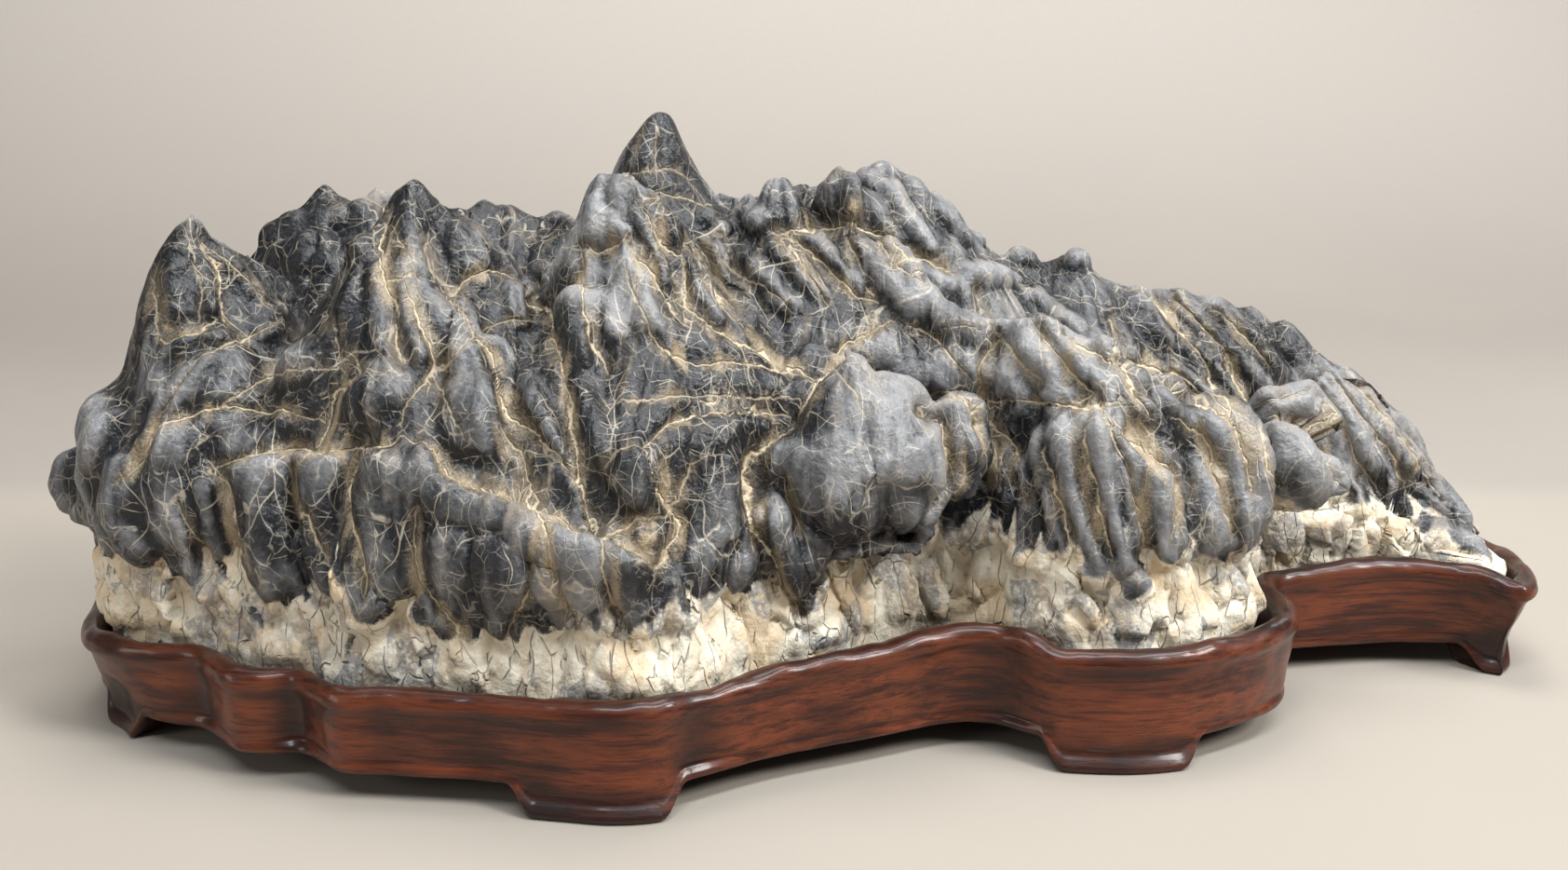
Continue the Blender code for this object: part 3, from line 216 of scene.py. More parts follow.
# Rounded lobes on the crown: chains of (x, y, radius), each let down on the body from above.
CROWN_LOBES = {
    "terrace dome": ((-130, -62, 15.5),),
    "terrace swell": ((-156, -46, 10),),
    "west ledge lobe": ((-194, -42, 4.5), (-186, -39, 5), (-181, -37, 3)),
    "west small lobe a": ((-173, -17, 4), (-172, -12, 3.5)),
    "west small lobe b": ((-173, -25, 4), (-171, -16, 3.5)),
    "west flank rib": ((-185, -18, 4.5), (-180, -17, 4.5), (-176, -16, 3.5)),
    "west spire rib": ((-195, -27, 3.5), (-196, -31, 4.5), (-194, -35, 4.5)),
    "west spire east rib": ((-188, -23, 3.5), (-186, -26, 4.5), (-185, -32, 4)),
    "south terrace dome": ((-100, -64, 14), (-100, -68, 13.5)),
    "tower oval": ((-110, -23, 8.5), (-107, -26, 8.5)),
    "tower lower oval": ((-94, -26, 8), (-95, -29, 8)),
    "tower face": ((-112, -42, 8.5), (-107, -53, 8.5)),
    "tower rib": ((-133, -40, 3.5), (-130, -47, 4), (-127, -56, 4)),
    "tower mid rib": ((-126, -41, 3.5), (-121, -51, 4), (-117, -57, 4)),
    "valley upper lobe": ((-75, -50, 7), (-74, -53, 7), (-72, -58, 6)),
    "valley spur": ((-67, -46, 4), (-64, -53, 4)),
    "twin rib a": ((-70, -33, 3), (-70, -36, 3.5)),
    "twin rib b": ((-63, -32, 4), (-62, -37, 4)),
    "twin rib c": ((-56, -32, 4), (-53, -37, 4), (-50, -44, 3.5)),
    "twin rib d": ((-51, -30, 3.5), (-46, -32, 4), (-43, -36, 3)),
    "pale foot": ((-55, -50, 4), (-52, -53, 4)),
    "east rib a": ((-43, -34, 4), (-39, -39, 4), (-34, -43, 3)),
    "east rib b": ((-37, -4, 4.5), (-31, -11, 4.5), (-25, -29, 3)),
    "east rib c": ((-29, 2, 5), (-20, -14, 5), (-13, -20, 3.5)),
    "east rib d": ((-16, -10, 5), (-9, -14, 5), (-3, -18, 3)),
    "ledge rib a": ((-6, -6, 5), (2, -11, 5), (8, -16, 3)),
    "ledge rib b": ((6, 0, 5.5), (13, -12, 5), (20, -14, 3.5)),
    "ledge rib c": ((18, -9, 4.5), (25, -12, 4)),
    "crown rib a": ((0, 6, 4), (-1, 6, 4)),
    "crown rib b": ((6, 5, 3.5), (6, 3, 4)),
    "crown rib c": ((12, 15, 3.5), (15, 8, 4), (20, 4, 3)),
    "crown rib d": ((20, 14, 4.5), (25, 9, 4.5), (31, 4, 3)),
    "crown rib e": ((28, 19, 4.5), (35, 18, 4.5), (44, 18, 3)),
    "pass knob a": ((-40, 3, 4),),
    "pass knob b": ((-34, 4, 4),),
    "pass knob c": ((-28, 9, 4.5), (-23, -3, 4)),
    "peak knob": ((28, -15, 6.5), (24, -16, 6)),
    "knob side": ((36, -15, 6.5), (42, -17, 6)),
    "knob saddle": ((35, -1, 3), (38, 0, 3)),
    "knob terrace": ((36, -19, 8), (43, -20, 7.5)),
    "mantle shoulder": ((16, -20, 10.5), (21, -21, 10.5)),
    "shell lobe": ((59, -24, 7.5), (64, -30, 8), (66, -37, 5.5)),
    "long crest a": ((47, 10, 4.5), (61, 29, 4.5)),
    "long crest b": ((69, 26, 5.5), (80, 17, 5), (81, -34, 4.5)),
    "face rib a": ((70, -33, 4.5), (77, -40, 4.5), (82, -47, 3)),
    "east rib lobe": ((111, 31, 7.5), (116, 29, 6)),
    "crest bump a": ((85, 36, 4.5),),
    "crest bump b": ((65, 38, 4), (69, 39, 3.5)),
    "crest bump c": ((50, 32, 3.5),),
    "north west step a": ((-191, 42, 5), (-182, 41, 5)),
    "north west step b": ((-173, 41, 5), (-162, 45, 5.5)),
    "north west step c": ((-187, 36, 5), (-172, 35, 5), (-139, -34, 4)),
    "north west step d": ((-182, 32, 4.5), (-168, 29, 5)),
    "back bump a": ((-132, 61, 3.5),),
    "back bump b": ((-125, 63, 3.5), (-121, 61, 3.5)),
    "back bump c": ((-113, 66, 4), (-108, 65, 3.5)),
    "back bump d": ((-94, 60, 5), (-89, 59, 3.5)),
    "back bump e": ((-158, 58, 4.5),),
    "back bump f": ((-166, 55, 3.5),),
}

# Lobes that stand clear of the body: chains of (x, y, z, radius).
FREE_LOBES = {
    "west bulb": ((-238, -19, 77, 5.5), (-239, -19, 71, 6), (-238, -22, 66, 4.5)),
    "west knob": ((-233, -28, 62, 2),),
    "mantle west": ((0, -45, 100, 14.5), (-1, -48, 88, 16.5), (2, -54, 77, 12.5)),
    "mantle east": ((15, -44, 97, 14.5), (17, -48, 85, 15), (18, -54, 77, 10.5)),
    "mantle far": ((27, -48, 91, 8), (27, -51, 81, 8), (25, -56, 74, 4.5)),
    "mantle top": ((2, -41, 111, 7.5), (-3, -45, 103, 10), (11, -43, 102, 10)),
    "mantle under": ((-9, -58, 68, 4), (1, -57, 63, 3.5), (13, -55, 63, 3), (22, -56, 62, 2.5),
        (25, -56, 67, 2.5)),
    "mantle next": ((37, -42, 98, 9), (38, -46, 89, 10), (37, -50, 81, 6.5)),
    "overhang": ((146, -5, 81, 9.5), (148, -8, 73, 11), (151, -11, 68, 7.5)),
    "overhang tip": ((157, -9, 75, 5), (161, -11, 70, 3.5)),
    "overhang cap": ((144, 2, 93, 6.5), (156, 4, 93, 6.5), (163, 3, 87, 5.5)),
}


class Crease(Enum):
    """Kinds of named crease: width, depth, share of pale deposit, and height of the lip.

    The lip is the lobe that swells up to the right of the crease's run.
    """

    LEDGE = (2.6, 3.4, 0.9, 4.5)
    DEEP = (2.8, 4.2, 1.0, 0.0)
    PLAIN = (2.2, 2.6, 0.85, 0.0)
    FINE = (1.6, 1.2, 0.50, 0.0)

    def __init__(self, width: float, depth: float, deposit: float, lip: float) -> None:
        """Keep the four numbers by name."""
        self.width = width
        self.depth = depth
        self.deposit = deposit
        self.lip = lip


LEDGE, DEEP, PLAIN, FINE = Crease

# Creases of the near side, as seen from StoneLook.eye on the plane y = 0: (x, z).
CREASES = {
    "west spire": (
        (FINE, ((-204, 152), (-202, 145), (-201, 137), (-200, 132))),
        (FINE, ((-216, 134), (-216, 125), (-216, 116))),
        (FINE, ((-200, 132), (-201, 126), (-202, 120))),
        (PLAIN, ((-198, 147), (-194, 140), (-192, 134), (-193, 120))),
        (FINE, ((-196, 145), (-188, 138), (-178, 126))),
        (PLAIN, ((-216, 115), (-209, 118), (-201, 120), (-192, 120))),
    ),
    "west flank": (
        (DEEP, ((-203, 111), (-208, 106), (-213, 98), (-218, 91), (-224, 83), (-229, 73),
            (-235, 67))),
        (FINE, ((-176, 120), (-185, 116), (-194, 113), (-203, 110))),
        (PLAIN, ((-225, 82), (-217, 87), (-209, 89), (-198, 92), (-181, 92), (-165, 87))),
        (FINE, ((-162, 105), (-177, 104), (-187, 99), (-198, 92))),
        (PLAIN, ((-160, 120), (-160, 112), (-160, 106))),
        (FINE, ((-160, 112), (-152, 107), (-144, 104))),
        (PLAIN, ((-154, 105), (-159, 100), (-163, 94), (-164, 87), (-168, 79), (-172, 73))),
        (LEDGE, ((-204, 71), (-195, 75), (-183, 78), (-172, 78), (-161, 78), (-149, 80),
            (-139, 84))),
        (PLAIN, ((-204, 71), (-199, 66), (-197, 53), (-196, 40), (-195, 27))),
        (FINE, ((-215, 60), (-211, 49), (-206, 40), (-203, 34))),
        (PLAIN, ((-172, 73), (-174, 66), (-173, 58), (-171, 50), (-168, 40))),
        (DEEP, ((-154, 76), (-158, 67), (-160, 60), (-158, 47), (-156, 34), (-156, 27))),
    ),
    "west peak": (
        (PLAIN, ((-140, 157), (-141, 150), (-143, 142), (-142, 134), (-140, 125), (-139, 114),
            (-137, 108))),
        (FINE, ((-138, 151), (-135, 144), (-132, 138), (-131, 134))),
        (PLAIN, ((-137, 137), (-134, 128), (-131, 120), (-127, 113), (-126, 104))),
        (FINE, ((-126, 148), (-127, 141), (-125, 135), (-121, 131))),
        (PLAIN, ((-121, 131), (-116, 133), (-110, 136), (-102, 137), (-99, 134))),
        (PLAIN, ((-121, 129), (-116, 124), (-113, 117))),
        (FINE, ((-113, 117), (-119, 112), (-124, 107), (-131, 101), (-136, 96), (-139, 88))),
        (FINE, ((-109, 119), (-103, 121), (-95, 121))),
        (FINE, ((-127, 102), (-125, 94), (-122, 87), (-120, 82))),
    ),
    "west valley": (
        (DEEP, ((-113, 117), (-108, 113), (-106, 105), (-104, 96), (-101, 88), (-96, 80),
            (-89, 73), (-82, 66), (-75, 53))),
        (PLAIN, ((-105, 85), (-102, 78), (-99, 69), (-94, 58))),
        (DEEP, ((-95, 134), (-93, 123), (-91, 114), (-88, 104), (-86, 91), (-84, 82), (-83, 72),
            (-80, 63), (-77, 53), (-75, 50))),
        (LEDGE, ((-139, 84), (-133, 81), (-129, 76), (-125, 70), (-119, 67), (-112, 65),
            (-105, 62), (-95, 57), (-85, 52), (-75, 49), (-65, 44), (-58, 40), (-54, 37))),
        (PLAIN, ((-75, 50), (-69, 52), (-65, 54), (-59, 53), (-54, 54))),
        (DEEP, ((-54, 37), (-52, 44), (-49, 53), (-52, 63), (-54, 71), (-56, 79), (-58, 80))),
        (FINE, ((-74, 72), (-70, 78), (-65, 80), (-59, 80))),
        (FINE, ((-54, 54), (-48, 60), (-47, 66), (-45, 72), (-41, 75))),
    ),
    "near flank": (
        (PLAIN, ((-136, 58), (-137, 47), (-136, 34), (-129, 22), (-124, 14), (-118, 3))),
        (PLAIN, ((-102, 66), (-96, 56), (-91, 44), (-89, 34), (-87, 24), (-82, 14))),
        (PLAIN, ((-76, 49), (-74, 37), (-73, 27), (-71, 20))),
        (PLAIN, ((-95, 40), (-101, 29), (-105, 21), (-108, 12))),
        (FINE, ((-95, 39), (-90, 27), (-87, 21))),
    ),
    "horn and cone": (
        (PLAIN, ((-81, 145), (-80, 137), (-78, 125), (-75, 114), (-72, 105))),
        (PLAIN, ((-78, 145), (-73, 142), (-68, 147), (-65, 148))),
        (PLAIN, ((-65, 148), (-57, 137), (-50, 126), (-45, 120))),
        (FINE, ((-66, 140), (-64, 131), (-60, 122), (-57, 116))),
        (PLAIN, ((-59, 157), (-54, 149), (-48, 142), (-44, 146))),
        (PLAIN, ((-45, 144), (-47, 136), (-45, 126), (-40, 121))),
        (FINE, ((-64, 166), (-59, 167), (-52, 168), (-43, 166))),
        (FINE, ((-54, 177), (-54, 171), (-56, 167))),
        (FINE, ((-59, 159), (-52, 161), (-45, 160), (-39, 158))),
    ),
    "far ribs": (
        (PLAIN, ((-42, 145), (-37, 133), (-30, 123))),
        (FINE, ((-35, 142), (-27, 134), (-19, 129), (-13, 124))),
        (PLAIN, ((-16, 148), (-10, 142), (-5, 134), (-1, 127))),
        (PLAIN, ((-14, 149), (-4, 140), (5, 131), (15, 127))),
        (FINE, ((4, 149), (8, 140), (13, 134))),
        (PLAIN, ((15, 146), (20, 139), (29, 134))),
        (PLAIN, ((-19, 149), (-10, 150), (0, 150), (8, 151), (25, 142), (39, 137))),
    ),
    "basin": (
        (PLAIN, ((-59, 116), (-51, 111), (-43, 106), (-30, 108), (-12, 104))),
        (PLAIN, ((-41, 121), (-28, 115), (-16, 108), (-5, 103))),
        (FINE, ((-71, 93), (-55, 96), (-30, 96), (-10, 95))),
        (PLAIN, ((-13, 89), (-7, 97), (0, 107), (10, 116), (20, 121))),
        (FINE, ((0, 107), (6, 100), (11, 90))),
        (PLAIN, ((25, 119), (34, 113), (45, 100))),
        (FINE, ((10, 109), (17, 98))),
        (LEDGE, ((-59, 81), (-55, 84), (-47, 89), (-34, 90), (-22, 91), (-13, 89))),
    ),
    "great lobe": (
        (LEDGE, ((-9, 20), (-14, 27), (-19, 40), (-23, 52), (-25, 60), (-24, 71), (-22, 78),
            (-17, 83), (-13, 88))),
        (PLAIN, ((-14, 68), (-13, 60), (-10, 51))),
        (LEDGE, ((30, 91), (36, 87), (38, 76), (39, 66), (36, 57))),
        (PLAIN, ((30, 93), (34, 96), (42, 97), (46, 94), (51, 88), (54, 76), (53, 66))),
        (PLAIN, ((53, 88), (59, 79), (60, 69), (64, 60))),
        (PLAIN, ((68, 79), (70, 69), (75, 60), (78, 50), (83, 40))),
    ),
    "east crown": (
        (FINE, ((35, 118), (44, 119), (50, 116), (54, 114))),
        (DEEP, ((54, 115), (51, 108), (49, 100), (50, 91), (54, 82))),
        (PLAIN, ((54, 115), (59, 108), (64, 102), (67, 99))),
        (FINE, ((46, 131), (49, 123), (54, 115))),
        (PLAIN, ((65, 119), (69, 113), (74, 107), (79, 100), (87, 96))),
        (PLAIN, ((52, 93), (61, 94), (72, 93), (82, 94), (93, 94))),
        (PLAIN, ((90, 122), (93, 114), (96, 105), (100, 96), (105, 88))),
        (PLAIN, ((74, 119), (81, 113), (89, 108), (101, 107), (112, 104), (120, 97), (126, 93))),
    ),
    "east fingers": (
        (DEEP, ((82, 91), (80, 87), (82, 76), (85, 66), (89, 53), (93, 40))),
        (DEEP, ((87, 96), (92, 88), (95, 80), (99, 69), (101, 60), (104, 52), (106, 40))),
        (DEEP, ((93, 91), (101, 82), (108, 74), (114, 72), (116, 65), (117, 55), (116, 44))),
        (PLAIN, ((113, 88), (121, 82), (126, 72), (131, 60), (135, 50))),
        (DEEP, ((106, 105), (117, 97), (126, 93), (134, 85), (138, 72), (140, 63))),
    ),
    "east end": (
        (PLAIN, ((90, 137), (100, 131), (109, 122), (117, 113), (122, 104), (130, 94),
            (137, 91))),
        (PLAIN, ((109, 128), (118, 120), (128, 108), (136, 94), (139, 88))),
        (FINE, ((121, 125), (132, 116), (142, 104))),
        (PLAIN, ((137, 92), (147, 96), (156, 100))),
        (PLAIN, ((138, 90), (142, 82), (143, 72), (148, 66))),
        (LEDGE, ((138, 90), (151, 87), (159, 79), (166, 69), (170, 63))),
        (PLAIN, ((159, 97), (166, 85), (173, 72), (180, 65))),
        (FINE, ((161, 104), (171, 91), (182, 79), (189, 66))),
        (FINE, ((167, 104), (177, 94), (187, 82), (196, 69), (202, 60))),
    ),
}

# Patches of the near side that are lighter (+) or darker (-), seen as the creases are: x, z,
# their two radii, and the change of tone.
# The darker patches in hollows, such as the west hollow and the basin, are painted shade.
TONES = {
    "comb": (-118, 156, 40, 7, -0.45),
    "east crest": (145, 113, 28, 7, -0.4),
    "north west": (-167, 158, 14, 8, -0.35),
    "horn": (-53, 160, 22, 30, -0.45),
    "west spire": (-212, 135, 22, 30, -0.3),
    "west hollow": (-169, 137, 18, 9, -1.5),
    "comb foot": (-152, 145, 12, 6, -0.35),
    "spire face": (-208, 128, 12, 18, -0.45),
    "west peak": (-118, 142, 9, 9, -0.05),
    "cone": (-69, 149, 16, 19, 0.9),
    "cone skirt": (-60, 126, 14, 14, 0.45),
    "gap by the cone": (-85, 119, 7, 13, -0.35),
    "valley wall": (-69, 91, 10, 18, -0.45),
    "basin": (-38, 97, 38, 13, -1.3),
    "basin shadow": (1, 124, 16, 3, -0.55),
    "great lobe": (9, 79, 24, 26, 0.38),
    "east crown": (65, 107, 22, 16, 0.55),
    "fingers": (106, 72, 21, 15, 0.15),
    "far east": (169, 88, 26, 24, 0.6),
    "bulge": (154, 69, 11, 8, -0.35),
    "great dome": (-146, 55, 26, 26, -0.1),
    "west face": (-191, 55, 26, 24, -0.22),
    "south dome": (-37, 63, 14, 18, -0.12),
    "horn tip": (-54, 180, 5, 5, -0.45),
    "horn side": (-46, 170, 3, 5, -0.1),
    "far ridge": (11, 143, 15, 5, -0.3),
    "terrace": (-181, 96, 30, 10, -0.15),
}

# Patches that hold pale deposit (+) or are clear of it (-), written in the same way.
DEPOSITS = {
    "basin": (-36, 102, 34, 13, -0.6),
    "valley": (-60, 48, 7, 5, 1.0),
    "tower face": (7, 156, 4, 5, 0.9),
    "tower east face": (20, 155, 4, 7, 0.6),
    "far knobs": (-35, 149, 6, 3, 0.7),
    "crown spot": (58, 110, 5, 4, 0.6),
    "west bulb": (-243, 72, 4, 6, 0.5),
    "spire foot": (-214, 119, 4, 3, 0.6),
    "cone spot": (-72, 151, 3, 3, 0.6),
    "skirt spot": (-58, 123, 3, 5, 0.6),
    "comb": (-98, 148, 18, 3, 0.35),
}

# Patches that stand out from the main shape (+) or lie back (-), in the same way, in mm.
SWELLS = {
    "west flank": (-234, 103, 10, 16, -6.5),
    "great dome": (-102, 37, 26, 13, 4.5),
    "west dome": (-181, 53, 18, 15, 1.5),
    "great lobe": (12, 72, 17, 15, 3.0),
}

# Flutes carved down the wall: (x, y of the outline point at its middle, half width, depth).
FLUTES = (
    (-187, -66, 5, 1.5), (-155, -81, 6, 1.9), (-125, -95, 8, 1.0), (-97, -98, 7, 0.8),
    (-38, -96, 9, 1.8), (50, -64, 10, 1.3), (136, -51, 7, 0.8),
)

# Share of the flanks' lean at each x: the west end is upright, the east end a long slope.
WEST_TO_EAST_LEAN = (
    (-232, 0), (-200, 0.05), (-170, 1), (150, 1), (185, 1.3), (215, 2.4), (230, 4),
)

# Level on the near face below which the stone is pale: (x, z), from west to east.
PALE_LEVEL = (
    (-245, 50), (-216, 57), (-187, 54), (-174, 55), (-166, 43), (-159, 53), (-143, 55),
    (-138, 63), (-133, 49), (-125, 47), (-119, 60), (-113, 49), (-98, 44), (-87, 46), (-77, 49),
    (-74, 56), (-51, 56), (-41, 60), (-24, 54), (-16, 46), (-10, 43), (-5, 59), (1, 61),
    (16, 55), (30, 58), (42, 66), (52, 64), (64, 60), (77, 59), (86, 51), (92, 56), (96, 62),
    (113, 58), (128, 62), (150, 66), (175, 60), (200, 48), (230, 38),
)


# ------------------------------------------------------------------ numbers over whole arrays
def in_blocks(work: Callable[[Array], Array], points: Array) -> Array:
    """Work out a function of many points in blocks, on all cores, and keep their order.

    Args:
        work: function of an (n, 3) array.
        points: the points.

    Returns:
        The blocks' results, one after the other.
    """
    blocks = [points[k:k + BLOCK] for k in range(0, len(points), BLOCK)]
    with ThreadPoolExecutor() as pool:
        return np.concatenate(list(pool.map(work, blocks)))


def smoothstep(low: float, high: float, value: Array) -> Array:
    """Ease from 0 at low to 1 at high: 3 t squared less 2 t cubed."""
    t = np.clip((value - low) / (high - low), 0, 1)
    return t * t * (3 - 2 * t)


def scramble(whole: Array, seed: int) -> Array:
    """Even pseudo-random numbers 0..1 for whole-number places, an integer mix of x, y and z."""
    whole = whole.astype(np.int64)
    mixed = whole[..., 0] * 374761393 + whole[..., 1] * 668265263 + whole[..., 2] * 1440662683
    mixed = (mixed + seed * 974634777) & 0xFFFFFFFF
    mixed = ((mixed ^ (mixed >> 13)) * 1274126177) & 0xFFFFFFFF
    mixed = ((mixed ^ (mixed >> 15)) * 668265263) & 0xFFFFFFFF
    return ((mixed ^ (mixed >> 16)) & 0xFFFFFF) / float(0xFFFFFF)


def noise(points: Array, size: float, seed: int) -> Array:
    """Smooth noise -1..1: random values at the corners of cubes of a size, eased between.

    Args:
        points: (n, 3) places.
        size: side of the cubes.
        seed: which noise.

    Returns:
        One value for each place.
    """
    place = points / size
    low = np.floor(place)
    share = place - low
    share = share * share * (3 - 2 * share)
    total = np.zeros(len(points))
    for corner in np.ndindex(2, 2, 2):
        near = np.array(corner)
        weight = np.where(near, share, 1 - share).prod(axis=1)
        total += weight * scramble(low + near, seed)
    return 2 * total - 1


def on_grid(work: Callable[..., Array], points: Array, *rest: float) -> Array:
    """Work out a function of an (n, 3) array, with its other arguments, at a grid of points."""
    return work(points.reshape(-1, 3), *rest).reshape(points.shape[:2])


def fractal(points: Array, size: float, octaves: int, seed: int) -> Array:
    """Sum of noises, each of half the size and half the height of the one before."""
    total = np.zeros(len(points))
    for k in range(octaves):
        total += 0.5**k * noise(points, size * 0.5**k, seed + k)
    return total


@dataclass(frozen=True)
class Cells:
    """Result of a search for the nearest scattered seed.

    Args:
        near: distance to the nearest seed, in cell sizes.
        next: distance to the second nearest.
        towards: vector from the nearest seed to the point, in cell sizes.
        tone: a random number 0..1 for the nearest seed.
    """

    near: Array
    next: Array
    towards: Array
    tone: Array


def scatter_cells(points: Array, size: Sequence[float], seed: int) -> Cells:
    """Nearest and second nearest of seeds scattered one to a box of a size.

    Args:
        points: (n, 3) places.
        size: the box's sides along x, y and z.
        seed: which scatter.

    Returns:
        The distances and the nearest seed's own numbers.
    """
    place = points / np.array(size)
    low = np.floor(place)
    near = np.full(len(points), 9.0)
    beyond = near.copy()
    towards = np.zeros_like(place)
    tone = np.zeros(len(points))
    for shift in np.ndindex(3, 3, 3):
        box = low + np.array(shift) - 1
        offset = np.stack([scramble(box, seed + k) for k in range(3)], axis=1)
        gap = place - box - 0.5 - 0.8 * (offset - 0.5)
        away = np.sqrt((gap * gap).sum(axis=1))
        closer = away < near
        beyond = np.where(closer, near, np.minimum(beyond, away))
        near = np.where(closer, away, near)
        towards = np.where(closer[:, None], gap, towards)
        tone = np.where(closer, scramble(box, seed + 7), tone)
    return Cells(near, beyond, towards, tone)


def cubic(a: Array, b: Array, c: Array, d: Array, t: Array) -> Array:
    """Catmull-Rom cubic from b to c, bent by the places a before and d after, at shares t."""
    return 0.5 * (2 * b + (c - a) * t + (2 * a - 5 * b + 4 * c - d) * t**2
                  + (3 * b - a - 3 * c + d) * t**3)


def smooth_loop(points: Iterable[Sequence[float]], per_span: int) -> Array:
    """Closed smooth curve: each span is the cubic set by its four nearest points."""
    p = np.array(points, float)
    t = (np.arange(per_span) / per_span)[None, :, None]
    curve = cubic(*(np.roll(p, shift, 0)[:, None] for shift in (1, 0, -1, -2)), t)
    return curve.reshape(-1, p.shape[1])


def open_curve(points: Iterable[Sequence[float]], per_span: int) -> Array:
    """Open smooth curve through points, its two ends held."""
    p = np.array(points, float)
    padded = np.concatenate((2 * p[:1] - p[1:2], p, 2 * p[-1:] - p[-2:-1]))
    t = (np.arange(per_span) / per_span)[None, :, None]
    curve = cubic(*(padded[k:len(padded) - 3 + k, None] for k in range(4)), t)
    return np.concatenate((curve.reshape(-1, p.shape[1]), p[-1:]))


def travelled(steps: Array) -> Array:
    """Length from the start of a line to each of its points."""
    return np.concatenate(((0,), np.cumsum(steps)))


def read_at(at: Array, places: Array, rows: Array) -> Array:
    """Rows read between their places, column by column."""
    return np.stack([np.interp(at, places, column) for column in rows.T], axis=1)


def by_length(curve: Array, count: int) -> Array:
    """Points spaced evenly by length along an open curve."""
    length = travelled(np.hypot(*np.diff(curve[:, :2], axis=0).T))
    return read_at(np.linspace(0, length[-1], count), length, curve)


def unit(vectors: Array) -> Array:
    """Vectors, one along each row of the last axis, scaled to a length of 1."""
    return vectors / np.maximum(np.linalg.norm(vectors, axis=-1, keepdims=True), 1e-9)


def from_lines(x: Array, y: Array, step_x: Array, step_y: Array) -> tuple:
    """Distance from each place to each flat stretch, and the share along it where it is nearest.

    Places are taken from the stretch's start. The share is the place's dot product with the
    stretch over the stretch's squared length.
    """
    square = np.maximum(step_x * step_x + step_y * step_y, 1e-6)
    t = np.clip((x * step_x + y * step_y) / square, 0, 1)
    return np.hypot(x - t * step_x, y - t * step_y), t


def from_bars(p: Array, start: Array, step: Array) -> tuple:
    """The same as from_lines, in space: p holds the points, start and step three rows each."""
    q = [p[:, k, None] - start[k] for k in range(3)]
    square = np.maximum((step * step).sum(0), 1e-6)
    t = np.clip(sum(a * b for a, b in zip(q, step)) / square, 0, 1)
    return np.sqrt(sum((a - t * b)**2 for a, b in zip(q, step))), t


def segments(chains: Iterable) -> list:
    """Rows of (start, end) for each stretch of each chain; a lone place is its own stretch."""
    rows = []
    for points in chains:
        ends = points[1:] if len(points) > 1 else points
        rows.extend((*a, *b) for a, b in zip(points, ends))
    return rows


def crease_lines() -> Iterable[tuple]:
    """Each kind of crease with its short stretches: start x, z, step x, z, and two tapers.

    A taper is 0 at the ends of a crease and grows to 1 over 12 mm from them.
    """
    for kind in Crease:
        rows = []
        for chains in CREASES.values():
            for each, points in chains:
                if each is kind:
                    curve = open_curve(points, 3)
                    step = np.diff(curve, axis=0)
                    length = travelled(np.hypot(*step.T))
                    taper = smoothstep(0, 12, np.minimum(length, length[-1] - length))
                    rows.append(np.column_stack((curve[:-1], step, taper[:-1], taper[1:])))
        yield kind, np.concatenate(rows).T


def soft_least(values: Array, width: float) -> Array:
    """Least of each row, with the crease between equal values rounded over a width.

    It is the least, less the width times the log of the sum of e to the minus each value's
    excess over the least, in widths.
    """
    low = values.min(1)
    return low - width * np.log(np.exp(-(values - low[:, None]) / width).sum(1))


